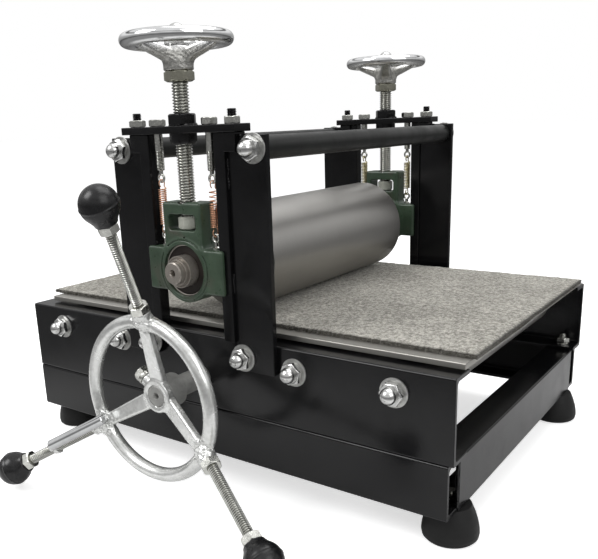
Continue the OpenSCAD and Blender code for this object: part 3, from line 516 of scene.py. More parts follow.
def threaded(axis: Axis, diameter: float, pitch: float, length: float, columns: int = 28,
             steps: int = 8) -> tuple[Array, Array]:
    """Rings of a threaded rod, and painted shade that darkens each point by how deep it lies in the
    thread.

    The radius at angle t and height h is the crest's less the depth times a rounded tooth of
    h / pitch - t / turn, and never more than the 45 degree chamfers allow at the two ends.

    Args:
        axis: from its lower end.
        diameter: over the crests.
        pitch: of the thread.
        length: of the rod.
        columns: points round it.
        steps: rings in a pitch.

    Returns:
        A grid of points, one row a ring, and the painted shade at each.
    """
    t = np.linspace(0, 2 * np.pi, columns, endpoint=False)[None, :]
    h = np.linspace(0, length, int(length / pitch * steps) + 1)[:, None]
    phase = (h / pitch - t / (2 * np.pi)) % 1
    tooth = np.clip(np.abs(phase - 0.5) * 2.6 - 0.2, 0, 1)
    depth = 0.6 * pitch
    r = diameter / 2 - depth * tooth
    limit = diameter / 2 - 0.6 * pitch + np.minimum(h, length - h)
    r = np.minimum(r, np.maximum(limit, diameter / 2 - depth - 0.2))
    rings = np.stack([r * np.cos(t), r * np.sin(t), np.broadcast_to(h, r.shape)], -1)
    # The thread's depth gives painted shade in its roots.
    return axis.put(rings), 0.9 * tooth


# Cast shapes, as distance fields

Field = Callable[[Array], Array]


def merge(a: Array, b: Array, fillet: float) -> Array:
    """The nearer of two distances, rounded where they meet over the fillet's width."""
    h = np.clip(0.5 + 0.5 * (b - a) / fillet, 0, 1)
    return b + (a - b) * h - fillet * h * (1 - h)


def carve(a: Array, b: Array, edge: float) -> Array:
    """Distance a with b taken away, its rim rounded over the edge's width."""
    return -merge(-a, b, edge)


def box_of(q: Array, edge: float) -> Array:
    """Distance to a rounded box from how far each coordinate lies past its core."""
    return np.linalg.norm(np.maximum(q, 0), axis=-1) + np.minimum(q.max(-1), 0) - edge


def cuboid(p: Array, centre: Sequence[float], half: Sequence[float], edge: float) -> Array:
    """Distance to a box with rounded edges."""
    return box_of(np.abs(p - np.array(centre, float)) - (np.array(half, float) - edge), edge)


def about(p: Array, axis: Axis) -> tuple[Array, Array]:
    """Distance from an axis and height along it.

    Args:
        p: the points.
        axis: the axis.

    Returns:
        Both, at each point.
    """
    local = p - np.array(axis.at, float)
    z = unit(np.array(axis.z, float))
    h = local @ z
    return np.linalg.norm(local - h[..., None] * z, axis=-1), h


def drum(p: Array, axis: Axis, radius: float | Array, low: float, high: float,
         edge: float) -> Array:
    """Distance to a cylinder along an axis from low to high, with rounded rims.

    Args:
        p: the points.
        axis: its axis.
        radius: its radius, or one for each point.
        low: one end along the axis.
        high: the other.
        edge: how far its rims are rounded.

    Returns:
        The distance at each point.
    """
    r, h = about(p, axis)
    past_end = np.abs(h - (low + high) / 2) - (high - low) / 2
    return box_of(np.stack([r - radius + edge, past_end + edge], -1), edge)


def hoop(p: Array, axis: Axis, radius: float, section: float) -> Array:
    """Distance to a ring of round section about an axis."""
    r, h = about(p, axis)
    return np.hypot(r - radius, h) - section / 2


def strut(p: Array, a: Sequence[float], b: Sequence[float], across: Sequence[float],
          wide: tuple[float, float], thick: tuple[float, float], edge: float) -> Array:
    """Distance to a bar from a to b whose width and thickness change evenly along it.

    Args:
        p: the points.
        a: the middle of its first end.
        b: the middle of its last end.
        across: the direction of its width.
        wide: its width at each end.
        thick: its thickness at each end.
        edge: radius of its edges.

    Returns:
        The distance at each point, close to true near the surface.
    """
    a, b = np.array(a, float), np.array(b, float)
    along = b - a
    length = float(np.linalg.norm(along))
    along /= length
    side = unit(np.array(across, float) - along * np.dot(across, along))
    local = p - a
    s = local @ along
    k = np.clip(s / length, 0, 1)
    return box_of(np.stack([
        np.abs(s - length / 2) - length / 2 + edge,
        np.abs(local @ side) - (wide[0] + (wide[1] - wide[0]) * k) / 2 + edge,
        np.abs(local @ np.cross(along, side)) - (thick[0] + (thick[1] - thick[0]) * k) / 2 + edge,
    ], -1), edge)


def level_surface(skin: Skin, shape: Field, low: Sequence[float], high: Sequence[float],
                  step: float) -> None:
    """Adds the closed surface on which a distance field is nought.

    Each cell of the grid that the surface crosses gets one point, the mean of its edges' crossings,
    and each grid edge that it crosses gets a face between its four cells. The points then move
    down the field's slope on to the surface. A grid of two parameters can't give a casting's
    merging fillets, so castings are made this way.

    Args:
        skin: takes the surface.
        shape: distance in millimetres, negative inside.
        low: lowest corner of the search.
        high: highest corner.
        step: the grid's pitch.
    """
    axes = [np.arange(lo - 2 * step, hi + 2.5 * step, step) for lo, hi in zip(low, high)]
    values = shape(np.stack(np.meshgrid(*axes, indexing="ij"), -1))
    corner = [(i, j, k) for i in (0, 1) for j in (0, 1) for k in (0, 1)]
    n = np.array(values.shape) - 1
    cut = np.stack([values[i:i + n[0], j:j + n[1], k:k + n[2]] for i, j, k in corner], -1)
    mixed = (cut < 0).any(-1) & (cut >= 0).any(-1)
    number = np.full(mixed.shape, -1)
    number[mixed] = np.arange(int(mixed.sum()))
    cell, v = np.argwhere(mixed), cut[mixed]
    total, crossings = np.zeros((len(cell), 3)), np.zeros((len(cell), 1))
    for a in range(8):
        for b in range(a + 1, 8):
            ca, cb = np.array(corner[a], float), np.array(corner[b], float)
            if np.abs(ca - cb).sum() == 1:
                crossed = ((v[:, a] < 0) != (v[:, b] < 0))[:, None]
                gap = v[:, a] - v[:, b]
                t = (v[:, a] / np.where(np.abs(gap) < 1e-9, 1e-9, gap))[:, None]
                total += np.where(crossed, ca + t * (cb - ca), 0)
                crossings += crossed
    start = np.array([x[0] for x in axes])
    points = start + (cell + total / np.maximum(crossings, 1)) * step
    for _ in range(3):
        here, reach = shape(points), step * 0.15
        slope = np.stack(
            [(shape(points + d) - shape(points - d)) / (2 * reach) for d in np.eye(3) * reach], -1
        )
        move = here[:, None] * slope / np.maximum((slope**2).sum(-1, keepdims=True), 0.2)
        points -= np.clip(move, -step / 3, step / 3)
    faces = []
    for d in range(3):
        e, f = (d + 1) % 3, (d + 2) % 3
        inside = np.moveaxis(values < 0, (d, e, f), (0, 1, 2))
        ids = np.moveaxis(number, (d, e, f), (0, 1, 2))
        crossed = inside[:-1, 1:-1, 1:-1] != inside[1:, 1:-1, 1:-1]
        i, j, k = np.nonzero(crossed)
        ring = np.stack([ids[i, j + u, k + v] for u, v in ((0, 0), (1, 0), (1, 1), (0, 1))], -1)
        faces.append(np.where(inside[i, j + 1, k + 1][:, None], ring, ring[:, ::-1]))
    skin.add(points, np.concatenate(faces))


# Pieces


def piece(name: str, skin: Skin, finish: "Finish", body: str, slot: str,
          stands_for: Sequence[str] = (), cast: bool = False) -> bpy.types.Object:
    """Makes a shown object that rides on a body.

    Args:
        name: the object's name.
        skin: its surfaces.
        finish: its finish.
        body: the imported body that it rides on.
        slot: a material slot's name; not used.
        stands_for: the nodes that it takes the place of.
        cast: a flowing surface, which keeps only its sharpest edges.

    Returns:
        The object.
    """
    mesh = skin.mesh(name)
    mesh.shade_smooth()
    mesh.set_sharp_from_angle(angle=CAST_ANGLE if cast else FINE_ANGLE)
    mesh.materials.append(finish.material())
    made = bpy.data.objects.new(name, mesh)
    bpy.context.scene.collection.objects.link(made)
    if not cast:
        flats = made.modifiers.new("flats", "WEIGHTED_NORMAL")
        flats.keep_sharp = True
    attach(made, body)
    if stands_for:
        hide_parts(*stands_for)
    LOG.info("%s: %d faces on %s", name, len(mesh.polygons), body)
    return made


def dress(nodes: Iterable[str], finish: "Finish") -> None:
    """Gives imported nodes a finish.

    Args:
        nodes: their names.
        finish: the finish.
    """
    for name in nodes:
        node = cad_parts[name]
        material = finish.material()
        if not node.material_slots:
            node.data.materials.append(material)
        for held in node.material_slots:
            held.material = material
        LOG.info("%s: dressed", name)


# Finishes


def fill(node: bpy.types.Node, sockets: Sockets) -> bpy.types.Node:
    """Gives each socket a value, or a link from another node's output, and returns the node.

    Args:
        node: the node.
        sockets: what each gets, by its name or number.

    Returns:
        The node.
    """
    for name, value in sockets.items():
        if isinstance(value, Socket):
            node.id_data.links.new(value, node.inputs[name])
        else:
            node.inputs[name].default_value = value
    return node


def new_node(tree: bpy.types.NodeTree, kind: str, sockets: Sockets | None = None,
             **settings: object) -> bpy.types.Node:
    """Adds a node to a tree.

    Args:
        tree: the node tree.
        kind: the node's type, without its prefix.
        sockets: a value or a source for each socket, by its name or number.
        settings: the node's own settings.

    Returns:
        The node.
    """
    node = tree.nodes.new(f"ShaderNode{kind}")
    for name, value in settings.items():
        setattr(node, name, value)
    return fill(node, sockets or {})


def ramp(tree: bpy.types.NodeTree, source: Socket, stops: Sequence[tuple[float, Colour]]) -> Socket:
    """Colours at places between 0 and 1 of a value.

    Args:
        tree: the node tree.
        source: the value.
        stops: each place and its colour.

    Returns:
        The colour.
    """
    node = new_node(tree, "ValToRGB", {"Fac": source})
    elements = node.color_ramp.elements
    while len(elements) < len(stops):
        elements.new(0.5)
    for element, (at, colour) in zip(elements, stops):
        element.position = at
        element.color = (*colour, 1)
    return node.outputs["Color"]


class Shader:
    """Writes the nodes of one material."""

    def __init__(self, name: str) -> None:
        """Starts a material with its surface shader.

        Args:
            name: the material's name.
        """
        self.material = bpy.data.materials.new(name)
        self.material.use_nodes = True
        self.tree = self.material.node_tree
        self.place = self.node("TexCoord", "Object")

    def node(self, kind: str, output: str | int, sockets: Sockets | None = None,
             **settings: object) -> Socket:
        """Adds a node, as new_node does, and gives one of its outputs."""
        return new_node(self.tree, kind, sockets, **settings).outputs[output]

    def surface(self, **sockets: object) -> bpy.types.Material:
        """Fills the surface's sockets, named with _ for a space, and gives the material.

        Args:
            sockets: a value or a source for each.

        Returns:
            The material.
        """
        named = {name.replace("_", " "): value for name, value in sockets.items()}
        fill(self.tree.nodes["Principled BSDF"], named)
        return self.material

    def stretch(self, scale: tuple[float, float, float]) -> Socket:
        """Object coordinates, in metres, times a scale on each axis."""
        return self.node("Mapping", "Vector", {"Vector": self.place, "Scale": scale})

    def noise(self, scale: float, detail: float = 4, rough: float = 0.55,
              source: Socket | None = None, warp: float = 0.0) -> Socket:
        """Cloudy noise, 0 to 1, with its scale in waves a metre.

        Args:
            scale: waves in a unit of the source.
            detail: how many finer layers it has.
            rough: how strong they are.
            source: where it is read, or the object's coordinates.
            warp: how far it is distorted.

        Returns:
            The noise.
        """
        return self.node("TexNoise", "Fac", {"Vector": source or self.place, "Scale": scale,
                                             "Detail": detail, "Roughness": rough,
                                             "Distortion": warp})

    def cells(self, scale: float) -> Socket:
        """Cell noise: each cell's own shade."""
        return self.node("TexVoronoi", "Color", {"Vector": self.place, "Scale": scale})

    def darkening(self) -> Socket:
        """The piece's own painted darkening, which is nought on a piece that has none."""
        return self.node("Attribute", "Fac", attribute_name="darkening")

    def spread(self, source: Socket, low: float, high: float, to_low: float = 0.0,
               to_high: float = 1.0) -> Socket:
        """A value between low and high, carried over to another range and held inside it."""
        return self.node("MapRange", "Result", {"Value": source, "From Min": low, "From Max": high,
                                                "To Min": to_low, "To Max": to_high})

    def tint(self, source: Socket, *stops: tuple[float, Colour]) -> Socket:
        """Colours at places between 0 and 1 of a value."""
        return ramp(self.tree, source, stops)

    def maths(self, kind: str, a: Socket | float, b: Socket | float) -> Socket:
        """One sum on values: kind is Blender's own word for it."""
        return self.node("Math", "Value", {0: a, 1: b}, operation=kind)

    def sum(self, *shares: tuple[Socket, float]) -> Socket:
        """Sources times their shares, added up.

        Args:
            shares: each source and its share.

        Returns:
            The sum.
        """
        total = None
        for source, share in shares:
            part = self.maths("MULTIPLY", source, share)
            total = part if total is None else self.maths("ADD", total, part)
        return total

    def blend(self, factor: Socket, a: Socket | Colour, b: Socket | Colour) -> Socket:
        """Colour a, and b where the factor is 1.

        Args:
            factor: the share of b.
            a: a colour or the source of one.
            b: the other.

        Returns:
            The mixed colour.
        """
        sides = {at: (*side, 1) if isinstance(side, tuple) else side
                 for at, side in ((6, a), (7, b))}
        return self.node("Mix", 2, {"Factor": factor, **sides}, data_type="RGBA")

    def height(self) -> Socket:
        """The object coordinate Z, in metres."""
        return self.node("SeparateXYZ", "Z", {"Vector": self.place})

    def bump(self, height: Socket, strength: float, distance: float,
             below: Socket | None = None) -> Socket:
        """Turns a height into small relief, over the relief below.

        Args:
            height: the height.
            strength: how much of the relief shows.
            distance: what a height of 1 stands for, in metres.
            below: a relief under this one.

        Returns:
            The normal.
        """
        under = {} if below is None else {"Normal": below}
        return self.node("Bump", "Normal", {"Height": height, "Strength": strength,
                                            "Distance": distance, **under})


@dataclass(frozen=True)
class Finish:
    """A finish: one material, made when it is first asked for."""

    name: str

    def material(self) -> bpy.types.Material:
        """The finish's material."""
        found = bpy.data.materials.get(self.name)
        return found or self.write(Shader(self.name))

    def write(self, shader: Shader) -> bpy.types.Material:
        """Writes the nodes."""
        raise NotImplementedError


@dataclass(frozen=True)
class Paint(Finish):
    """Sprayed paint: a soft orange peel, dust and a little wear in the gloss."""

    colour: Colour = (0.0042, 0.0042, 0.0046)
    rough: float = 0.17
    gloss: float = 0.3
    peel: float = 0.07

    def write(self, shader: Shader) -> bpy.types.Material:
        """Paint with an orange peel in its relief and patches in its gloss.

        Args:
            shader: the new material's nodes.

        Returns:
            The material.
        """
        cloud = shader.noise(28, 5, 0.6)
        fine = shader.noise(420, 3, 0.5)
        dust = shader.spread(shader.noise(11, 6, 0.7), 0.45, 0.8)
        pale = tuple(c * 1.7 + 0.003 for c in self.colour)
        return shader.surface(
            Base_Color=shader.blend(dust, self.colour, pale),
            Roughness=shader.spread(cloud, 0.3, 0.75, self.rough * 0.75, self.rough * 1.6),
            Normal=shader.bump(fine, self.peel, 0.0004, shader.bump(cloud, self.peel, 0.002)),
            Specular_IOR_Level=self.gloss,
        )


@dataclass(frozen=True)
class CastGreen(Finish):
    """Green machine paint over a sand casting: grain of the mould, patches and thin spots."""

    def write(self, shader: Shader) -> bpy.types.Material:
        """Three greens and brown thin spots in patches, over a cast grain.

        Args:
            shader: the new material's nodes.

        Returns:
            The material.
        """
        patch = shader.noise(45, 5, 0.6)
        thin = shader.spread(shader.noise(32, 4, 0.55, warp=0.8), 0.56, 0.72)
        lumps, sand = shader.noise(240, 3, 0.5), shader.noise(1000, 3, 0.6)
        green = shader.tint(patch, (0.3, (0.022, 0.04, 0.023)), (0.52, (0.035, 0.06, 0.036)),
                            (0.75, (0.053, 0.083, 0.053)))
        return shader.surface(
            Base_Color=shader.blend(shader.maths("MULTIPLY", thin, 0.55), green,
                                    (0.062, 0.052, 0.042)),
            Roughness=shader.spread(lumps, 0.3, 0.7, 0.26, 0.44),
            Normal=shader.bump(sand, 0.14, 0.0003, shader.bump(lumps, 0.22, 0.0006)),
            Specular_IOR_Level=0.5,
        )


@dataclass(frozen=True)
class Steel(Finish):
    """Bare or plated metal with cloudy tone, fine scratches and a turned or brushed grain."""

    dark: Colour = (0.3, 0.3, 0.29)
    pale: Colour = (0.55, 0.55, 0.53)
    rough: tuple[float, float] = (0.22, 0.4)
    patch: float = 60
    grain: tuple[float, float, float] = (500, 500, 500)
    relief: float = 0.06
    # The colour that the darkening paints in: painted shade in thread roots, and the plate's darker
    # end.
    root: Colour = (0.02, 0.02, 0.017)
    metal: float = 1.0

    def write(self, shader: Shader) -> bpy.types.Material:
        """Metal whose tone drifts between two colours, with a directional grain and painted shade
        in thread roots.

        Args:
            shader: the new material's nodes.

        Returns:
            The material.
        """
        cloud = shader.noise(self.patch, 5, 0.6, warp=0.4)
        lines = shader.noise(1, 3, 0.6, shader.stretch(self.grain))
        tone = shader.sum((cloud, 0.7), (lines, 0.3))
        clean = shader.tint(tone, (0.33, self.dark), (0.66, self.pale))
        return shader.surface(
            # The darkening paints the root colour in: painted shade in thread roots.
            Base_Color=shader.blend(shader.darkening(), clean, self.root),
            Roughness=shader.spread(lines, 0.25, 0.75, *self.rough),
            Normal=shader.bump(lines, self.relief, 0.0002),
            Metallic=self.metal,
        )


@dataclass(frozen=True)
class Galvanised(Finish):
    """Hot zinc over a casting: soft cloudy greys, runs, lumps and dull spots."""

    def write(self, shader: Shader) -> bpy.types.Material:
        """Fine crystals under a cloudy tone, with cast lumps in the relief.

        Args:
            shader: the new material's nodes.

        Returns:
            The material.
        """
        crystals = shader.cells(420)
        cloud = shader.noise(38, 6, 0.62, warp=0.5)
        grain = shader.noise(420, 4, 0.65)
        spangle = shader.sum((crystals, 0.14), (cloud, 0.6), (grain, 0.26))
        return shader.surface(
            Base_Color=shader.tint(spangle, (0.32, (0.52, 0.526, 0.51)),
                                   (0.5, (0.7, 0.706, 0.69)), (0.68, (0.86, 0.865, 0.85))),
            Roughness=shader.spread(cloud, 0.3, 0.7, 0.14, 0.3),
            Normal=shader.bump(grain, 0.22, 0.0004, shader.bump(cloud, 0.25, 0.0016)),
            Metallic=0.72,
        )


@dataclass(frozen=True)
class HandWheelChrome(Finish):
    """Chrome plate: mirror bright on the polished rim, rough as cast on the hub below it."""

    turn_z: float = 0.4025
    band: float = 0.004

    def write(self, shader: Shader) -> bpy.types.Material:
        """Roughness and tone follow the height: the cast grain fades out towards the rim.

        Args:
            shader: the new material's nodes.

        Returns:
            The material.
        """
        low, high = self.turn_z - self.band, self.turn_z + self.band
        cast = shader.spread(shader.height(), low, high, 1.0, 0.0)
        grain = shader.noise(480, 5, 0.7)
        cloud = shader.noise(55, 4, 0.6)
        pitted = shader.maths("MULTIPLY", cast, shader.spread(grain, 0.35, 0.65, 0.2, 0.36))
        rough = shader.maths("ADD", shader.spread(cloud, 0.3, 0.7, 0.05, 0.1), pitted)
        relief = shader.maths("MULTIPLY", grain, cast)
        bright = shader.tint(cloud, (0.35, (0.66, 0.665, 0.67)), (0.7, (0.8, 0.805, 0.81)))
        dull = shader.tint(grain, (0.4, (0.3, 0.295, 0.27)), (0.6, (0.5, 0.49, 0.45)))
        return shader.surface(
            Base_Color=shader.blend(shader.maths("MULTIPLY", cast, 0.8), bright, dull),
            Roughness=rough,
            Normal=shader.bump(relief, 0.6, 0.0007),
            Metallic=1.0,
        )


@dataclass(frozen=True)
class Rubber(Finish):
    """Moulded rubber or soft plastic: a fine skin and dull bloom."""

    colour: Colour = (0.008, 0.008, 0.008)
    rough: float = 0.5
    gloss: float = 0.25

    def write(self, shader: Shader) -> bpy.types.Material:
        """Near black with a grey bloom.

        Args:
            shader: the new material's nodes.

        Returns:
            The material.
        """
        bloom = shader.noise(70, 5, 0.65)
        skin = shader.noise(1400, 2, 0.5)
        pale = tuple(c * 1.4 + 0.002 for c in self.colour)
        return shader.surface(
            Base_Color=shader.tint(bloom, (0.4, self.colour), (0.75, pale)),
            Roughness=shader.spread(bloom, 0.3, 0.7, self.rough * 0.8, self.rough * 1.3),
            Normal=shader.bump(skin, 0.1, 0.0002),
            Specular_IOR_Level=self.gloss,
        )


@dataclass(frozen=True)
class Felt(Finish):
    """Heather grey needled felt: coarse tangles of light and dark wool, with painted shade at its
    cut edges.
    """

    def write(self, shader: Shader) -> bpy.types.Material:
        """Speckles a few millimetres across, streaks of warped fibres and painted shade on the cut
        edges.

        Args:
            shader: the new material's nodes.

        Returns:
            The material.
        """
        speckle = shader.noise(360, 3, 0.8)
        fibres = shader.noise(1, 2, 0.6, shader.stretch((1500, 320, 900)), warp=2.5)
        cross = shader.noise(1, 2, 0.6, shader.stretch((320, 1500, 900)), warp=2.5)
        drift = shader.noise(16, 4, 0.6)
        tone = shader.sum((fibres, 0.18), (cross, 0.18), (speckle, 0.54), (drift, 0.1))
        nap = shader.sum((fibres, 0.3), (cross, 0.3), (speckle, 0.4))
        wool = shader.tint(tone, (0.38, (0.045, 0.041, 0.035)), (0.45, (0.19, 0.18, 0.155)),
                           (0.52, (0.37, 0.355, 0.315)), (0.61, (0.7, 0.68, 0.615)))
        return shader.surface(
            # Painted shade on the cut edges: the darkening mixes in a dark brown.
            Base_Color=shader.blend(shader.darkening(), wool, (0.035, 0.032, 0.026)),
            Normal=shader.bump(nap, 0.7, 0.0012),
            Roughness=0.95, Sheen_Weight=0.2, Specular_IOR_Level=0.2,
        )


BLACK = Paint("gloss_black_paint")
SATIN = Paint("satin_tube_paint", (0.009, 0.0095, 0.009), 0.34, 0.26, 0.1)
GREEN = CastGreen("green_cast_paint")
ZINC = Steel("zinc_plate", (0.46, 0.46, 0.43), (0.74, 0.74, 0.7), (0.16, 0.3), 160, relief=0.06)
STAINLESS = Steel("stainless_steel", (0.5, 0.5, 0.49), (0.72, 0.72, 0.71), (0.14, 0.26), 90)
WASHER = Steel("washer_steel", (0.36, 0.36, 0.35), (0.56, 0.56, 0.54), (0.26, 0.4), 110, metal=0.8)
CHROME = HandWheelChrome("chrome_plate")
JAM = Steel("olive_zinc", (0.3, 0.295, 0.24), (0.46, 0.45, 0.375), (0.16, 0.26), 120, relief=0.08)
TIP = Steel("dull_nut_zinc", (0.36, 0.37, 0.32), (0.52, 0.53, 0.47), (0.3, 0.44), 90,
            relief=0.04, metal=0.35)
PIN = Steel("polished_pin", (0.46, 0.465, 0.47), (0.64, 0.645, 0.65), (0.06, 0.14), 40,
            (120, 120, 120), 0.03)
BEARING = Steel("bearing_steel", (0.55, 0.55, 0.54), (0.74, 0.74, 0.72), (0.12, 0.2), 80,
                relief=0.03)
INNER = Steel("ground_ring_steel", (0.27, 0.245, 0.22), (0.36, 0.33, 0.295), (0.26, 0.36), 60,
              relief=0.02, metal=0.65)
GREY = Steel("dark_cast_steel", (0.25, 0.25, 0.24), (0.38, 0.38, 0.365), (0.42, 0.6), 90,
             relief=0.2, metal=0.6)
SEAL = Rubber("bearing_seal", (0.016, 0.012, 0.01), 0.42)
ROLLER = Steel("brushed_roller_steel", (0.37, 0.36, 0.345), (0.45, 0.44, 0.42), (0.34, 0.42), 5,
               (25, 1500, 25), 0.06)
BED = Steel("bed_steel", (0.13, 0.122, 0.108), (0.26, 0.248, 0.225), (0.3, 0.5), 30,
            (60, 500, 900), 0.1)
COPPER = Steel("copper_wire", (0.27, 0.165, 0.11), (0.5, 0.34, 0.235), (0.18, 0.3), 150,
               relief=0.03, root=(0.04, 0.02, 0.015))
BRASSY = Steel("brassy_wire", (0.12, 0.09, 0.055), (0.24, 0.19, 0.125), (0.22, 0.34), 150,
               relief=0.03)
RUBBER = Rubber("foot_rubber")
KNOB = Rubber("knob_plastic", (0.006, 0.006, 0.0065), 0.26, 0.36)
CAST_ZINC = Galvanised("galvanised_casting")
FELT = Felt("heather_felt")


# The press


@dataclass(frozen=True)
class Bolt:
    """A standard bolt."""

    diameter: float
    pitch: float
    flats: float
    height: float

    def hexagon(self, axis: Axis) -> Array:
        """Rings of its head or nut."""
        return nut(axis, self.flats, self.height)

    def rod(self, axis: Axis, length: float) -> tuple[Array, Array]:
        """Rings of its thread, and the painted shade in its roots."""
        return threaded(axis, self.diameter, self.pitch, length)


M8 = Bolt(8, 1.25, 13, 6)


@dataclass
class Sided:
    """A sub-assembly that stands on each side of the bed."""

    side: Side

    @property
    def y(self) -> float:
        """Its place across the bed."""
        return self.side.value * SIZE.press_y

    @property
    def name(self) -> str:
        """The side's name, as its pieces have it."""
        return self.side.name.lower()


@dataclass
class Studio:
    """The camera at the photograph's place, a pale floor, a white surround and soft lamps."""

    at: Point = (0.4451, -0.6635, 0.3372)
    yaw: float = 0.644
    pitch: float = -0.268
    roll: float = -0.040
    lens: float = 43.45
    shift: tuple[float, float] = (0.0463, 0.0729)
    ambient: float = 0.45
    floor_glow: float = 0.62
    sky: tuple[tuple[float, float], ...] = (
        (0.0, 0.3), (0.22, 0.5), (0.36, 0.92), (0.45, 0.95),
        (0.49, 0.16), (0.55, 0.2), (0.6, 0.95), (1.0, 1.0),
    )
    pool: tuple[float, float, float, float] = (0.38, 0.7, 1.0, 0.26)
    floor_half: float = 30.0
    floor_z: float = -0.0005
    floor_white: float = 0.9

    def camera(self) -> None:
        """Aims the camera: forward from yaw and pitch, then rolled about it."""
        sy, cy = math.sin(self.yaw), math.cos(self.yaw)
        sp, cp = math.sin(self.pitch), math.cos(self.pitch)
        forward = Vector((-sy * cp, cy * cp, sp))
        right = Vector((cy, sy, 0))
        up = right.cross(forward)
        sr, cr = math.sin(self.roll), math.cos(self.roll)
        right, up = right * cr + up * sr, up * cr - right * sr
        data = bpy.data.cameras.new("view")
        data.sensor_width = 36
        data.lens = self.lens
        data.shift_x, data.shift_y = self.shift
        data.clip_start, data.clip_end = 0.02, 60
        seen = bpy.data.objects.new("view", data)
        bpy.context.scene.collection.objects.link(seen)
        turn = Matrix((right, up, -forward)).transposed().to_4x4()
        seen.matrix_world = Matrix.Translation(self.at) @ turn
        bpy.context.scene.camera = seen

    def surround(self) -> None:
        """White for the camera and through glass, the studio's walls in metal, and a plainer
        level on the object."""
        world = bpy.data.worlds.new("surround")
        bpy.context.scene.world = world
        world.use_nodes = True
        tree = world.node_tree
        ray = new_node(tree, "LightPath").outputs
        seen = new_node(tree, "Math", {0: ray["Is Camera Ray"], 1: ray["Is Transmission Ray"]},
                        operation="MAXIMUM")
        mirror = new_node(tree, "Mix", {0: ray["Is Glossy Ray"], 2: self.ambient,
                                        3: self.studio_sky(tree)})
        level = new_node(tree, "Mix", {0: seen.outputs[0], 2: mirror.outputs[0], 3: 1.0})
        fill(tree.nodes["Background"], {"Color": (1, 1, 1, 1), "Strength": level.outputs[0]})

    def studio_sky(self, tree: bpy.types.NodeTree) -> Socket:
        """Levels by the ray's height: dim horizon, bright wall, dark card, white ceiling.

        Args:
            tree: the world's node tree.

        Returns:
            The level, as a grey.
        """
        where = new_node(tree, "TexCoord").outputs["Generated"]
        height = new_node(tree, "SeparateXYZ", {0: where}).outputs["Z"]
        return ramp(tree, height, [(at, (level,) * 3) for at, level in self.sky])

    def floor(self) -> None:
        """A wide pale floor with a little light of its own, which keeps the object's shadow.

        In metal it shows darker beyond a pool of light round the press.
        """
        around = ((-1, -1), (1, -1), (1, 1), (-1, 1))
        corners = [(x * self.floor_half, y * self.floor_half, self.floor_z) for x, y in around]
        mesh = bpy.data.meshes.new("floor")
        mesh.from_pydata(corners, [], [(0, 1, 2, 3)])
        material = bpy.data.materials.new("pale_floor")
        material.use_nodes = True
        tree = material.node_tree
        ray = new_node(tree, "LightPath").outputs
        glow = new_node(tree, "Math", {0: ray["Is Camera Ray"], 1: self.floor_glow},
                        operation="MULTIPLY")
        where = new_node(tree, "TexCoord").outputs["Object"]
        reach = new_node(tree, "VectorMath", {0: where}, operation="LENGTH")
        ends = dict(zip(("From Min", "From Max", "To Min", "To Max"), self.pool))
        pool = new_node(tree, "MapRange", {"Value": reach.outputs["Value"], **ends},
                        interpolation_type="SMOOTHSTEP")
        shade = new_node(tree, "Mix", {0: ray["Is Glossy Ray"], 2: 1.0, 3: pool.outputs["Result"]})
        pale = new_node(tree, "Mix", {0: shade.outputs[0], 6: (0, 0, 0, 1),
                                      7: (*[self.floor_white] * 3, 1)}, data_type="RGBA")
        fill(tree.nodes["Principled BSDF"], {
            "Base Color": pale.outputs[2], "Roughness": 1.0, "Specular IOR Level": 0.0,
            "Emission Color": (1, 1, 1, 1), "Emission Strength": glow.outputs[0],
        })
        mesh.materials.append(material)
        plane = bpy.data.objects.new("floor", mesh)
        bpy.context.scene.collection.objects.link(plane)

    def lamp(self, name: str, at: Point, size: float, power: float) -> None:
        """A square soft lamp that faces the press.

        Args:
            name: its name.
            at: its place.
            size: its side.
            power: in watts.
        """
        data = bpy.data.lights.new(name, "AREA")
        data.size = size
        data.energy = power
        made = bpy.data.objects.new(name, data)
        bpy.context.scene.collection.objects.link(made)
        made.location = at
        made.rotation_euler = (Vector((0, 0, 0.2)) - Vector(at)).to_track_quat("-Z", "Y").to_euler()

    def build(self) -> None:
        """Sets up the whole studio."""
        bpy.context.scene.view_settings.view_transform = "Standard"
        self.camera()
        self.surround()
        self.floor()
        self.lamp("key", (-1.2, -1.8, 2.2), 1.4, 42)
        self.lamp("fill", (2.0, -0.6, 1.6), 1.6, 16)
        self.lamp("top", (0.2, 0.6, 2.4), 1.8, 26)


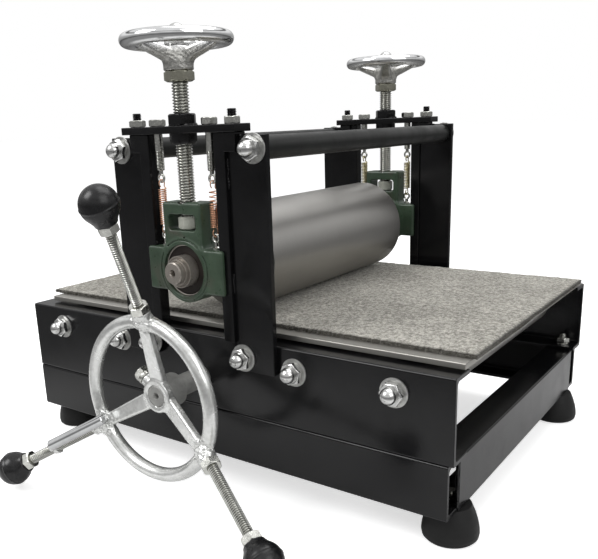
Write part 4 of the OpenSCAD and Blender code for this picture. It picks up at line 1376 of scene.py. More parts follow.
@dataclass
class BaseFrame:
    """Feet, base rails, cross members and side rails, with the bolts between them."""

    wall: float = 4.0
    bend: float = 2.0
    root: float = 3.0
    lip: float = 0.7
    base: tuple[float, float] = (48.0, 22.0)
    rail: tuple[float, float] = (73.0, 27.0)
    cross_flange: float = 28.0
    cross_x: float = 251.5
    short: float = 4.6
    cross_y: float = 161.0
    cross_in: float = 2.2
    cross_weld: float = 1.1
    foot: tuple[float, float] = (237.5, 149.0)
    foot_profile: tuple[tuple[float, float], ...] = (
        (8.45, 0), (21.6, 0), (23.3, 1.8), (24, 5.4), (23.6, 10), (22.4, 16), (20.4, 22.5),
        (17.0, 30.5), (4.6, 30.5), (4.6, 14), (8.45, 14),
    )
    bolt: tuple[float, float] = (237.0, 167.8)
    bolt_washer: tuple[float, float, float] = (8.2, 14.0, 1.5)

    def section(self, height: float, flange: float) -> Array:
        """Outline of a channel with its web on X = 0 and its foot on Y = 0.

        Args:
            height: of the web.
            flange: how far the flanges reach.

        Returns:
            The outline's points.
        """
        w = self.wall
        corners = [(0, 0), (flange, 0), (flange, w), (w, w)]
        corners += [(x, height - y) for x, y in corners[::-1]]
        radii = [self.bend, self.lip, self.lip, self.root]
        return rounded(corners, radii + radii[::-1])

    def rails(self) -> None:
        """The four long channels."""
        length = 2 * SIZE.half_length
        for side in Side:
            for name, low, (height, flange) in (("base_rail", SIZE.base_z, self.base),
                                                ("side_rail", SIZE.rail_foot, self.rail)):
                foot = low if side is Side.NEAR else low + height
                short = self.short if name == "base_rail" else 0.0
                axis = Axis((-SIZE.half_length, side.value * SIZE.web_y, foot), (1, 0, 0),
                            (0, -side.value, 0))
                bar = prism(axis, self.section(height, flange), length - short, 0.5)
                node = f"{name}_{side.name.lower()}"
                piece(f"{node}_channel", Skin().loft(bar), BLACK, "frame", "black_paint", [node])

    def cross_members(self) -> None:
        """The two end channels, welded between the base rails."""
        height = self.base[0]
        section = self.section(height, self.cross_flange)
        low, high = SIZE.base_z + self.root, SIZE.rail_foot - self.wall
        skin = Skin()
        for hand in Hand:
            right = hand is Hand.RIGHT
            foot = SIZE.base_z + (0 if right else height)
            web = self.cross_x - (self.cross_in if right else 0)
            axis = Axis((hand.value * web, -self.cross_y, foot), (0, 1, 0), (-hand.value, 0, 0))
            skin.loft(prism(axis, section, 2 * self.cross_y, 0.3))
            for side in Side:
                x, y = hand.value * (web - 1.4), side.value * (self.cross_y + 0.3)
                seed = 11 + hand.value + side.value
                skin.loft(weld((x, y, low), (x, y, high), self.cross_weld, seed))
        piece("cross_members", skin, BLACK, "frame", "black_paint", ["base_crossmembers"])

    def feet(self) -> None:
        """Tapered rubber feet with a lip, a flat sole and a recess for the bolt's head."""
        profile = rounded(self.foot_profile, 0.35, 3)
        rubber, bolts = Skin(), Skin()
        for hand in Hand:
            for side in Side:
                at = Axis((hand.value * self.foot[0], side.value * self.foot[1], 0))
                rubber.loft(turned(at, profile, 64), closed=True)
                bolts.loft(M8.hexagon(at.along(8)))
                bolts.loft(turned(at, [(4, 12), (4, 42)], 24))
                bolts.loft(M8.hexagon(at.along(SIZE.base_z + self.wall)))
        piece("feet", rubber, RUBBER, "frame", "rubber", ["rubber_feet"])
        piece("feet_bolts", bolts, ZINC, "frame", "zinc", ["foot_bolts"])

    def bolts(self) -> None:
        """The bolts that hold the side rails on the base."""
        skin = Skin()
        x, y = self.bolt
        bore, outer, thick = self.bolt_washer
        for hand in Hand:
            for side in Side:
                at = Axis((hand.value * x, side.value * y, SIZE.rail_foot - self.wall))
                top = at.along(2 * self.wall)
                skin.loft(M8.hexagon(at.along(-M8.height)))
                skin.loft(collar(top, bore, outer, 0, thick, 0.3), closed=True)
                skin.loft(M8.hexagon(top.along(thick)))
                thread, root = M8.rod(at.along(-3), 23)
                # Painted shade in the thread's roots.
                skin.loft(thread, darkening=root)
        piece("flange_bolts", skin, ZINC, "frame", "zinc", ["rail_bolts"])

    def build(self) -> None:
        """Makes the frame's channels, feet and bolts."""
        self.rails()
        self.cross_members()
        self.feet()
        self.bolts()


@dataclass
class Bed:
    """The steel bed plate and the felt blanket on it."""

    plate: tuple[Point, Point] = ((-237, -167, 153.5), (253, 167, 158.5))
    felt: tuple[Point, Point] = ((-250, -153, 158.5), (256, 153, 162.5))
    rows: int = 240
    columns: int = 150
    fray: float = 0.9
    hair: tuple[float, float] = (1.2, 3.2)
    hairs: int = 2600

    def build(self) -> None:
        """Makes the plate, the blanket and its frayed edge."""
        rings = slab(*self.plate, 0.7)
        # The plate's right end face is painted darker.
        ends = np.clip((rings[..., 0] - self.plate[1][0] + 0.6) * 3, 0, 0.9)
        skin = Skin().loft(rings, darkening=ends)
        piece("plate", skin, BED, "bed", "bed_steel", ["bed_plate"])
        rings, darkening = self.cloth()
        blanket = piece("blanket", Skin().loft(rings, darkening=darkening), FELT, "bed", "felt",
                        ["felt_blanket"])
        edge = piece("blanket_fray", self.fringe(), FELT, "bed", "felt")
        size = [(b - a) * MM for a, b in zip(*self.felt)]

    def cloth(self) -> tuple[Array, Array]:
        """Rings round the blanket's section, one for each row along it, and the painted shade at
        its edges.

        The top is flat but for a soft wave, and falls off by exp(-d / 0.8) at the distance d from
        its edges, which wander.

        Returns:
            The rings and the painted shade.
        """
        low, high = (np.array(v, float) for v in self.felt)
        v = np.linspace(-1, 1, self.columns)
        across = np.concatenate([v, [1, 1], np.linspace(1, -1, 12), [-1, -1]])
        top = np.concatenate([np.ones(self.columns), [0.6, 0.25], np.zeros(12), [0.25, 0.6]])
        even = np.linspace(-1, 1, self.rows)[:, None]
        u = 0.15 * np.sin(even * np.pi / 2) + 0.85 * even
        mid, half = (low + high) / 2, (high - low) / 2
        x = mid[0] + half[0] * u + 0 * across
        y = mid[1] + half[1] * across + 0 * u
        flat = np.stack([x, y], -1)
        inset = np.minimum(half[0] - np.abs(x - mid[0]), half[1] - np.abs(y - mid[1]))
        fall = 0.6 * np.exp(-inset / 0.8)
        swell = 0.16 * waves(flat, 60, 3) + 0.07 * waves(flat, 9, 4)
        z = low[2] + (high[2] - low[2] - fall + swell) * top
        stray = self.fray * np.exp(-inset / 4.0)
        x += stray * waves(flat[..., 1:], 13, 5) * np.sign(u) * (np.abs(u) > 0.98)
        y += stray * waves(flat[..., :1], 13, 6) * np.sign(across) * (np.abs(across) > 0.97)
        # Painted shade: darkest on the cut sides, fading over the first millimetres of the top.
        darkening = 1.3 * np.exp(-inset / 0.6) * (1.35 - top) + 0.4 * np.exp(-inset / 1.0)
        return np.stack([x, y, z], -1), np.clip(darkening, 0, 0.85)

    def fringe(self) -> Skin:
        """Loose fibres on the cut edge: tapering curls of three sides, each a short bent path.

        Returns:
            Their surfaces.
        """
        rng = np.random.default_rng(21)
        low, high = (np.array(v, float) for v in self.felt)
        size = (high - low)[:2]
        at = rng.uniform(0, 2 * size.sum(), self.hairs)
        along_x = at < 2 * size[0]
        sign = rng.choice([-1.0, 1.0], self.hairs)
        base = np.where(
            along_x[:, None],
            np.stack([low[0] + at % size[0], np.where(sign > 0, high[1], low[1])], -1),
            np.stack([np.where(sign > 0, high[0], low[0]), low[1] + at % size[1]], -1),
        )
        out = np.stack([np.where(along_x, 0, sign), np.where(along_x, sign, 0)], -1)
        side = np.stack([-out[:, 1], out[:, 0]], -1)
        length = rng.uniform(*self.hair, self.hairs)[:, None]
        lean = rng.normal(0, 0.7, (self.hairs, 1))
        curl = rng.normal(0, 0.6, (self.hairs, 1))
        drop = rng.normal(-0.25, 0.35, (self.hairs, 1))
        z = rng.uniform(low[2] + 0.3, high[2] - 1.0, (self.hairs, 1))
        k = np.linspace(0, 1, 4)[None, :, None]
        flat = (base - 1.2 * out)[:, None] + (length + 1.2)[:, None] * (
            k * out[:, None] + (lean[:, None] * k + curl[:, None] * k**2) * side[:, None])
        path = np.concatenate([flat, z[:, None] + (drop * length)[:, None] * k**2], -1)
        turn = np.linspace(0, 2 * np.pi, 3, endpoint=False)
        radius = rng.uniform(0.1, 0.2, (self.hairs, 1, 1, 1)) * (1 - 0.75 * k[..., None])
        ring = side[:, None, None, :] * np.cos(turn)[None, None, :, None]
        rings = path[:, :, None, :] + radius * np.concatenate(
            [ring, np.broadcast_to(np.sin(turn)[None, None, :, None], ring.shape[:3] + (1,))], -1)
        start = (np.arange(self.hairs) * 12)[:, None]
        quads = (start[:, None] + quads_of(4, 3, False, True)[None]).reshape(-1, 4)
        skin = Skin()
        skin.add(rings, quads, start + np.array([2, 1, 0]), start + np.array([9, 10, 11]),
                 # Each fibre is painted darker by a random amount.
                 darkening=rng.uniform(0.35, 1.0, (self.hairs, 1, 1)) + 0 * rings[..., 0])
        return skin


@dataclass
class Rollers:
    """The upper, lower and support rollers with their shafts."""

    half: float = 129.0
    wall: float = 8.0
    upper_d: float = 101.6
    lower_d: float = 88.9
    core_d: float = 30.0
    shaft_end: float = 213.3
    drive_ends: tuple[float, float] = (245.6, 184.5)
    support_half: float = 150.0
    support_d: float = 44.0
    support_bore: float = 38.0
    axle_d: float = 10.1
    disc: tuple[float, float] = (2.0, 12.0)

    def roller(self, axis: Axis, half: float, sizes: tuple[float, float, float], edge: float,
               columns: int) -> Skin:
        """A roller's tube and end discs.

        Args:
            axis: across the press, from its middle.
            half: half its length.
            sizes: diameters of the shaft's hole, of the tube's bore and over the tube.
            edge: radius of the tube's edges.
            columns: points round it.

        Returns:
            Its surfaces.
        """
        hole, bore, outer = sizes
        skin = Skin().loft(collar(axis, bore, outer, -half, half, edge, columns), closed=True)
        inset, end = self.disc
        for low in (inset - half, half - end):
            skin.loft(collar(axis, hole, bore, low, low + end - inset, 0.4), closed=True)
        return skin

    def shaft(self, z: float, near: float, far: float) -> Skin:
        """A shaft with chamfered, centre-drilled ends and a thicker core through the roller.

        Args:
            z: its height.
            near: how far it reaches to the near side.
            far: how far to the far side.

        Returns:
            Its surfaces.
        """
        axis = Axis((0, 0, z), (0, 1, 0))
        end = [(0.05, 5), (2.3, 5), (2.4, 1.8), (3.6, 0), (9.0, 0), (10, 1.0)]
        profile = [(r, h - near) for r, h in end] + [(r, far - h) for r, h in end[::-1]]
        r, half = self.core_d / 2, self.half
        core = [(r - 0.5, -half), (r, 0.5 - half), (r, half - 0.5), (r - 0.5, half)]
        return Skin().loft(turned(axis, profile, 64)).loft(turned(axis, core, 48))

    def build(self) -> None:
        """Makes every roller."""
        for level, z, outer, ends, finish, node in (
                ("upper", SIZE.upper_z, self.upper_d, (self.shaft_end,) * 2, INNER, "upper_shaft"),
                ("lower", SIZE.lower_z, self.lower_d, self.drive_ends, GREY, "drive_shaft")):
            axis, sizes = Axis((0, 0, z), (0, 1, 0)), (self.core_d, outer - 2 * self.wall, outer)
            group = f"{level}_roller_group"
            piece(f"{level}_roller_tube", self.roller(axis, self.half, sizes, 1.0, 144), ROLLER,
                  group, "roller_steel", [f"{level}_roller"])
            piece(f"{level}_roller_shaft", self.shaft(z, *ends), finish, group, "shaft_steel",
                  [node])
        sizes = (self.axle_d, self.support_bore, self.support_d)
        for number, x in enumerate(SIZE.axle_x, 1):
            axis = Axis((x, 0, SIZE.support_z), (0, 1, 0))
            piece(f"support_roller_{number}_tube",
                  self.roller(axis, self.support_half, sizes, 0.8, 64), ROLLER,
                  f"roller_{number}", "roller_steel", [f"support_roller_{number}"])
        dress(["support_axles"], STAINLESS)
        dress(["lower_bearing_cups"], BLACK)
        dress(["lower_bearings", "lower_inner_rings"], BEARING)


@dataclass
class Fasteners:
    """Washers and cap nuts at the ends of the axles, bolts and tie rods."""

    bolt: tuple[float, float] = (57.0, 138.0)
    flats: float = 18.2
    hex_h: float = 5.4
    dome_r: float = 7.0
    bore: float = 10.4
    washer: tuple[float, float] = (25.0, 1.5)
    split: tuple[float, float] = (18.0, 1.25)
    split_gap: float = 0.06

    def seats(self) -> list[Axis]:
        """The middle of each nut's seat.

        Returns:
            An axis for each seat, outwards.
        """
        found = []
        for side in Side:
            found += [outwards(side, x, SIZE.web_y, SIZE.support_z) for x in SIZE.axle_x]
            for hand in Hand:
                found += [outwards(side, hand.value * x, SIZE.plate_y, z)
                          for x, z in (self.bolt, (SIZE.tie_x, SIZE.tie_z))]
        return found

    def spring_washer(self, axis: Axis, start: float) -> Array:
        """Rings of a split washer: a rectangle carried round nearly a turn, its ends apart.

        Args:
            axis: its axis.
            start: the angle of its gap, in radians.

        Returns:
            A grid of points, one row a ring.
        """
        t = np.linspace(self.split_gap, 2 * np.pi - self.split_gap, 41)[:, None] + start
        low, high, thick = self.bore / 2, self.split[0] / 2, self.split[1]
        section = rounded([(low, 0), (high, 0), (high, thick), (low, thick)], 0.25, 2)
        r, h = section[:, 0], section[:, 1] + 0 * t
        return axis.put(np.stack([r * np.cos(t), r * np.sin(t), h], -1))

    def build(self) -> None:
        """Makes the washers and nuts at every seat, each turned to a different angle."""
        rng = np.random.default_rng(7)
        flat, caps = Skin(), Skin()
        stack = self.washer[1] + self.split[1]
        for seat in self.seats():
            a = rng.uniform(0, math.pi / 3)
            seat = Axis(seat.at, seat.z, (math.cos(a), 0, math.sin(a)))
            outer, thick = self.washer
            flat.loft(collar(seat, self.bore, outer, 0, thick, 0.35), closed=True)
            flat.loft(self.spring_washer(seat.along(thick), rng.uniform(0, 6)))
            caps.loft(nut(seat.along(stack), self.flats, self.hex_h))
            caps.loft(dome(seat.along(stack), self.hex_h, self.dome_r))
        piece("washer_stacks", flat, WASHER, "frame", "stainless", ["washers"])
        piece("domed_nuts", caps, STAINLESS, "frame", "stainless", ["cap_nuts"])
        dress(["upright_bolts", "tie_rods"], STAINLESS)


@dataclass
class Upright(Sided):
    """One upright: a plate with a square guide bar and a lug welded to it."""

    hand: Hand
    plate: tuple[Point, Point] = ((50, 183, 125.8), (90, 189, 330.5))
    guide: tuple[Point, Point] = ((38.3, 181, 151.5), (50, 193, 333))
    lug: tuple[Point, Point] = ((47, 178, 317), (61.5, 193, 333))
    beads: tuple[tuple[Point, Point, float, int], ...] = (
        ((50.2, 189.2, 196), (50.2, 189.2, 214), 0.9, 0),
        ((50.2, 189.2, 286), (50.2, 189.2, 312), 0.9, 0),
        ((66, 188.8, 329.8), (60, 188.8, 329.8), 1.2, 9),
    )

    def build(self) -> None:
        """Makes the upright and its weld runs."""
        flip = np.array([self.hand.value, self.side.value, 1.0])
        skin = Skin()
        for (low, high), edge in ((self.plate, 0.8), (self.guide, 1.0), (self.lug, 0.8)):
            a, b = np.array(low) * flip, np.array(high) * flip
            skin.loft(slab(np.minimum(a, b), np.maximum(a, b), edge))
        seed = 31 + 2 * self.hand.value + self.side.value
        for start, end, radius, offset in self.beads:
            skin.loft(weld(np.array(start) * flip, np.array(end) * flip, radius, seed + offset))
        node = f"upright_{self.name}_{self.hand.name.lower()}"
        piece(f"{node}_welded", skin, BLACK, "frame", "black_paint", [node])


@dataclass
class Crossbar(Sided):
    """One crossbar with its welded nuts, studs, spring hangers and their eyes."""

    half: tuple[float, float] = (66.0, 11.0)
    stud_x: float = 55.5
    stud_down: float = 10.0
    stud_l: float = 28.5
    nut_flats: float = 22.6
    nut_h: float = 10.0
    under: tuple[Pair, ...] = ((10.4, -9), (12, -6.2), (12, 0.2))
    shank: Pair = (318.0, 22.0)
    thread: Pair = (301.2, 18.0)
    eye_z: float = 294.6
    eye_r: float = 3.4
    eye_wire: float = 2.4

    def eye(self, skin: Skin, x: float, z: float) -> None:
        """A wire ring in the plane of X and Z.

        Args:
            skin: takes it.
            x: its middle along the bed.
            z: its middle's height.
        """
        t = np.linspace(0, 2 * np.pi, 12, endpoint=False)
        r = self.eye_wire / 2
        section = np.stack([self.eye_r + r * np.cos(t), r * np.sin(t)], -1)
        skin.loft(turned(Axis((x, self.y, z), (0, 1, 0)), section, 28), closed=True)

    def bar(self) -> None:
        """The flat bar."""
        x, y = self.half
        bar = slab((-x, self.y - y, SIZE.bar_z), (x, self.y + y, SIZE.bar_top), 0.7)
        node = f"crossbar_{self.name}"
        piece(f"{node}_bar", Skin().loft(bar), BLACK, "frame", "black_paint", [node])

    def hangers(self, zinc: Skin) -> None:
        """Adds the two hangers: a hex head, a shank that is threaded below, and an eye.

        Args:
            zinc: takes them.
        """
        for hand in Hand:
            x = hand.value * SIZE.spring_x
            zinc.loft(M8.hexagon(Axis((x, self.y, SIZE.bar_top), x=(1, hand.value * 0.35, 0))))
            low, length = self.shank
            zinc.loft(turned(Axis((x, self.y, low)), [(3.9, 0), (3.9, length)], 28))
            low, length = self.thread
            thread, root = M8.rod(Axis((x, self.y, low)), length)
            # Painted shade in the thread's roots.
            zinc.loft(thread, darkening=0.6 * root)
            zinc.loft(turned(Axis((x, self.y, self.eye_z + self.eye_r)), [(2, 0), (2, 5)], 20))
            self.eye(zinc, x, self.eye_z)

    def studs(self, zinc: Skin, black: Skin) -> None:
        """Adds the two black studs and their zinc nuts.

        Args:
            zinc: takes the nuts.
            black: takes the studs.
        """
        for hand in Hand:
            x = hand.value * self.stud_x
            zinc.loft(M8.hexagon(Axis((x, self.y, SIZE.bar_top), x=(1, hand.value * 0.2, 0))))
            thread, root = M8.rod(Axis((x, self.y, SIZE.bar_z - self.stud_down)), self.stud_l)
            # Painted shade in the thread's roots.
            black.loft(thread, darkening=root)

    def nuts(self, skin: Skin) -> None:
        """Adds the hexagon above the bar, its weld and the round nut below.

        The weld runs round an oval, its radius the hexagon's plus a slow wave, in 34 ripples.

        Args:
            skin: takes them.
        """
        skin.loft(nut(Axis((0, self.y, SIZE.bar_top), x=(1, 0.12, 0)), self.nut_flats, self.nut_h))
        t = np.linspace(0, 2 * np.pi, 90)
        r = self.nut_flats / 2 + 1.2 + 0.5 * np.sin(3 * t)
        x, y, z = r * np.cos(t), self.y + r * np.sin(t) * 0.72, SIZE.bar_top + 0.3 + 0 * t
        skin.loft(wire(np.stack([x, y, z], -1), 1.5 + 0.25 * np.sin(34 * t), 8))
        skin.loft(turned(Axis((0, self.y, SIZE.bar_z)), self.under, 48))

    @classmethod
    def build(cls) -> None:
        """Makes both crossbars and what they carry."""
        hangers, stud_nuts, studs, nuts = Skin(), Skin(), Skin(), Skin()
        for side in Side:
            bar = cls(side)
            bar.bar()
            bar.hangers(hangers)
            bar.studs(stud_nuts, studs)
            bar.nuts(nuts)
        piece("hanger_rods", hangers, ZINC, "frame", "zinc", ["spring_hangers"])
        piece("stud_hexagons", stud_nuts, ZINC, "frame", "zinc", ["crossbar_stud_nuts"])
        piece("black_studs", studs, BLACK, "frame", "black_paint")
        piece("welded_nuts", nuts, BLACK, "frame", "black_paint", ["crossbar_screw_nuts"])


@dataclass
class TieTubes:
    """The two painted tubes between the uprights, over the bed."""

    outer: float = 20.0
    bore: float = 15.0

    def build(self) -> None:
        """Makes the tubes."""
        skin, half = Skin(), SIZE.web_y
        for hand in Hand:
            axis = Axis((hand.value * SIZE.tie_x, 0, SIZE.tie_z), (0, 1, 0))
            skin.loft(collar(axis, self.bore, self.outer, -half, half, 0.5, 64), closed=True)
        piece("tie_tube_pair", skin, SATIN, "frame", "tie_paint", ["tie_tubes"])


@dataclass
class Spring(Sided):
    """A wound extension spring with a hook at each end; the real one shortens as the casting rises.
    """

    hand: Hand
    foot: float = 252.35
    length: float = 33.0
    turns: int = 17
    coil_r: float = 3.7
    wire_r: tuple[float, float] = (0.52, 0.728)
    loop_r: float = 3.4
    lift: float = 4.5
    travel: float = 12.0
    fixed_z: float = 293.8

    def climb(self) -> Array:
        """Height of the coil at each turn: even, but for the last turns of one slack spring.

        Returns:
            The heights, from nought.
        """
        stretched = self.side is Side.NEAR and self.hand is Hand.RIGHT
        pitch = np.ones(self.turns)
        if stretched:
            pitch[-4:] = (1.5, 2.3, 2.7, 2.3)
        return self.length * np.concatenate([[0], np.cumsum(pitch)]) / pitch.sum()

    def route(self) -> Array:
        """The wire's path: the lower hook, the coil (r cos t, r sin t, height), the upper hook.

        Returns:
            The path's points.
        """
        def loop(z: float, start: float, end: float) -> Array:
            """An arc of a hook in the plane of Y and Z."""
            t = np.radians(np.linspace(start, end, 30))
            return np.stack([0 * t, self.loop_r * np.cos(t), z + self.loop_r * np.sin(t)], -1)

        k = np.linspace(0, self.turns, self.turns * 22 + 1)
        t = np.pi / 2 + 2 * np.pi * k
        height = np.interp(k, np.arange(self.turns + 1), self.climb())
        coil = np.stack([self.coil_r * np.cos(t), self.coil_r * np.sin(t), height], -1)
        upper = loop(self.length + self.lift, -50, 240)
        path = np.vstack([loop(-self.lift, -240, 50), coil, upper])
        for _ in range(3):
            path[1:-1] = (path[:-2] + 2 * path[1:-1] + path[2:]) / 4
        return path + np.array([self.hand.value * SIZE.spring_x, self.y, self.foot])

    def build(self) -> None:
        """Makes the spring and gives it a mesh of its own."""
        near = self.side is Side.NEAR
        finish, slot = (COPPER, "copper_wire") if near else (BRASSY, "brassy_wire")
        path = self.route()
        skin = Skin().loft(wire(path, self.wire_r[0 if near else 1], 8))
        one = f"{self.name}_{self.hand.name.lower()}"
        made = piece(f"coil_{one}", skin, finish, "frame", slot, [f"spring_{one}"])
        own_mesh(made)


@dataclass
class BearingCasting(Sided):
    """A take-up bearing casting on two guide bars, with its insert bearing and spring eyes."""

    thick: float = 21.0
    wing: tuple[float, float] = (44.5, 20.0)
    neck: float = 22.5
    top: float = 274.6
    barrel: float = 29.5
    boss: float = 27.0
    boss_proud: float = 1.0
    bore: float = 47.0
    window: tuple[float, float, float] = (16.0, 249.6, 263.6)
    screw_hole: float = 9.6
    oil_hole: tuple[float, float, float] = (2.2, 6.0, 0.9)
    groove_x: float = 38.0
    groove_w: float = 12.6
    step: float = 0.7
    seal_at: float = 7.4
    eye_foot: tuple[Pair, ...] = ((3.4, 0), (3.4, 1.6), (2.6, 2.2), (2, 2.6), (2, 6.6))
    eye_z: Pair = (233.4, 243.1)

    @property
    def out(self) -> Axis:
        """The bearing's axis, away from the bed."""
        return outwards(self.side, 0, SIZE.press_y, SIZE.upper_z)

    def shape(self, p: Array) -> Array:
        """Distance to the casting: wings, neck and barrel, less window, grooves and bore.

        Args:
            p: the points.

        Returns:
            The distance at each point.
        """
        y, out, half, upper = self.y, self.out, self.thick / 2, SIZE.upper_z
        wings = cuboid(p, (0, y, upper), (self.wing[0], half, self.wing[1]), 2.2)
        mid = (self.top + upper) / 2
        neck = cuboid(p, (0, y, mid), (self.neck, half, self.top - mid), 2.8)
        body = merge(merge(wings, neck, 5.5), drum(p, out, self.barrel, -half, half, 1.2), 2.5)
        trench = hoop(p, out.along(half + 0.2), self.boss + 0.7, 1.1)
        body = carve(body, trench, 0.6)
        face = half + self.boss_proud
        body = merge(body, drum(p, out, self.boss, -face, face, 0.9), 0.5)
        wide, low, high = self.window
        centre, size = (0, y, (low + high) / 2), (wide, half + 9, (high - low) / 2)
        body = carve(body, cuboid(p, centre, size, 3.0), 1.6)
        body = carve(body, drum(p, Axis((0, y, 0)), self.screw_hole, high - 2, self.top + 5, 0.1),
                     1.2)
        x, below, radius = self.oil_hole
        hole = outwards(self.side, x, SIZE.press_y, low - below)
        body = carve(body, drum(p, hole, radius, half - 2, half + 5, 0.1), 0.3)
        for hand in Hand:
            edge = hand.value * (self.groove_x + 10)
            groove = cuboid(p, (edge, y, upper), (10, self.groove_w / 2, self.wing[1] + 9), 0.8)
            body = carve(body, groove, 0.8)
        return carve(body, drum(p, out, self.bore / 2, -half - 9, half + 9, 0.1), 0.5)

    def casting(self) -> None:
        """The green casting."""
        x, y = self.wing[0], self.thick / 2 + self.boss_proud
        skin = Skin()
        level_surface(skin, self.shape, (-x, self.y - y, SIZE.upper_z - self.barrel),
                      (x, self.y + y, self.top), self.step)
        piece(f"casting_{self.name}", skin, GREEN, "bearing_carriage", "green_casting",
              [f"bearing_housing_{self.name}"], cast=True)

    def bearing(self, outer: Skin, seals: Skin, inner: Skin) -> None:
        """Adds the insert bearing: a thin bright ring, dark seals and a long stepped inner ring.

        Args:
            outer: takes the outer ring.
            seals: takes the seals.
            inner: takes the inner ring and its collar.
        """
        outer.loft(collar(self.out, 44.6, self.bore, -8.5, 8.5, 0.5, 96), closed=True)
        for at in (-1, 1):
            seal = collar(self.out.along(at * self.seal_at), 29.6, 45, -0.6, 0.6, 0.3, 72)
            seals.loft(seal, closed=True)
        step = [(10.05, -12.7), (14.5, -12.7), (14.5, 18.3), (13.4, 18.3), (12.6, 17.4),
                (10.05, 17.4)]
        inner.loft(turned(self.out, rounded(step, 0.3, 2), 72), closed=True)
        inner.loft(collar(self.out, 20.05, 23.4, 17.2, 20.6, 0.5, 64), closed=True)

    @classmethod
    def build(cls) -> None:
        """Makes both castings, their bearings and the eyes on their shoulders."""
        outer, seals, inner, eyes = Skin(), Skin(), Skin(), Skin()
        for side in Side:
            one = cls(side)
            one.casting()
            one.bearing(outer, seals, inner)
            foot_z, ring_z = one.eye_z
            for hand in Hand:
                x = hand.value * SIZE.spring_x
                eyes.loft(turned(Axis((x, one.y, foot_z)), one.eye_foot, 24))
                Crossbar(side).eye(eyes, x, ring_z)
        piece("insert_rings", outer, BEARING, "bearing_carriage", "bearing_steel",
              ["upper_bearings"])
        piece("insert_seals", seals, SEAL, "bearing_carriage", "bearing_steel")
        piece("insert_inner_rings", inner, INNER, "upper_roller_group", "bearing_steel",
              ["upper_inner_rings"])
        piece("shoulder_eyes", eyes, ZINC, "bearing_carriage", "zinc", ["spring_eyes"])


@dataclass
class PressureScrew(Sided):
    """A threaded pressure screw with its nuts and a chromed hand wheel."""

    first_arm: float
    foot: float = 250.2
    thread_d: float = 14.8
    pitch: float = 2.5
    tip: tuple[float, float, float] = (250.3, 16.5, 11.2)
    jam: Pair = (22.6, 9.0)
    cap: tuple[float, float, float] = (19.0, 8.0, 8.0)
    jam_z: float = 375.5
    hub_z: float = 384.5
    hub_top: float = 404.5
    rim_z: float = 409.2
    rim_r: float = 42.4
    rim_d: float = 11.6
    hub_r: Pair = (12.8, 9.8)
    arm_w: Pair = (13.0, 10.0)
    arm_h: Pair = (11.0, 6.5)
    drop: float = 0.0

    def __post_init__(self) -> None:
        """Lowers the wheel and its nuts by the drop."""
        for height in ("jam_z", "hub_z", "hub_top", "rim_z"):
            setattr(self, height, getattr(self, height) - self.drop)

    def at(self, z: float) -> Axis:
        """The screw's axis from a height, with its nuts' corners turned a little."""
        return Axis((0, self.y, z), x=(1, 0.3 * self.side.value, 0))

    def screw(self) -> None:
        """The threaded rod, the nut in the casting's window and the two at the hand wheel."""
        screw = f"screw_{self.name}"
        length = self.hub_z + 1 - self.foot
        thread, root = threaded(self.at(self.foot), self.thread_d, self.pitch, length, 32, 10)
        # Painted shade in the thread's roots.
        skin = Skin().loft(thread, darkening=0.5 * root)
        skin.loft(turned(self.at(self.hub_z), [(6, 0), (6, 27)], 32))
        piece(f"thread_{self.name}", skin, ZINC, screw, "zinc", [f"pressure_screw_{self.name}"])
        tip_z, flats, height = self.tip
        tip = nut(Axis((0, self.y, tip_z), x=(1, 0.9, 0)), flats, height)
        piece(f"{screw}_tip", Skin().loft(tip), TIP, screw, "zinc")
        jam = nut(self.at(self.jam_z), *self.jam)
        piece(f"{screw}_hexagons", Skin().loft(jam), JAM, screw, "zinc",
              [f"screw_nuts_{self.name}"])
        flats, height, radius = self.cap
        top, seat = Skin(), self.at(self.hub_top)
        top.loft(nut(seat, flats, height)).loft(dome(seat, height, radius))
        piece(f"{screw}_dome", top, STAINLESS, screw, "zinc")

    def shape(self, p: Array) -> Array:
        """Distance to the hand wheel: rim, three dished arms with webs, and a flared hub.

        Args:
            p: the points.

        Returns:
            The distance at each point.
        """
        rim = hoop(p, Axis((0, self.y, self.rim_z)), self.rim_r, self.rim_d)
        taper = np.clip((p[..., 2] - self.hub_z - 7) / (self.hub_top - self.hub_z - 7), 0, 1)
        wide, narrow = self.hub_r
        body = drum(p, Axis((0, self.y, 0)), wide + (narrow - wide) * taper, self.hub_z,
                    self.hub_top, 1.3)
        for k in range(3):
            a = math.radians(self.first_arm + 120 * k)
            u = np.array([math.cos(a), math.sin(a), 0])
            start = np.array([0, self.y, self.hub_z + 11.5]) + 7 * u
            end = np.array([0, self.y, self.rim_z - 1.0]) + (self.rim_r - 1) * u
            arm = strut(p, start, end, (-u[1], u[0], 0), self.arm_w, self.arm_h, 2.6)
            body = merge(body, arm, 4.0)
        under = np.clip((self.rim_z - 7 - p[..., 2]) / 4, 0, 1)
        grain = 0.14 * under * waves(p, 5.5, 17 + self.side.value)
        return merge(body, rim, 3.5) + grain

    def handwheel(self) -> None:
        """The cast and chromed hand wheel."""
        skin = Skin()
        reach = self.rim_r + self.rim_d / 2
        level_surface(skin, self.shape, (-reach, self.y - reach, self.hub_z),
                      (reach, self.y + reach, self.rim_z + self.rim_d / 2), 0.9)
        piece(f"hand_wheel_{self.name}", skin, CHROME, f"screw_{self.name}", "chrome",
              [f"handwheel_{self.name}"], cast=True)

    def build(self) -> None:
        """Makes the screw and its wheel."""
        self.screw()
        self.handwheel()


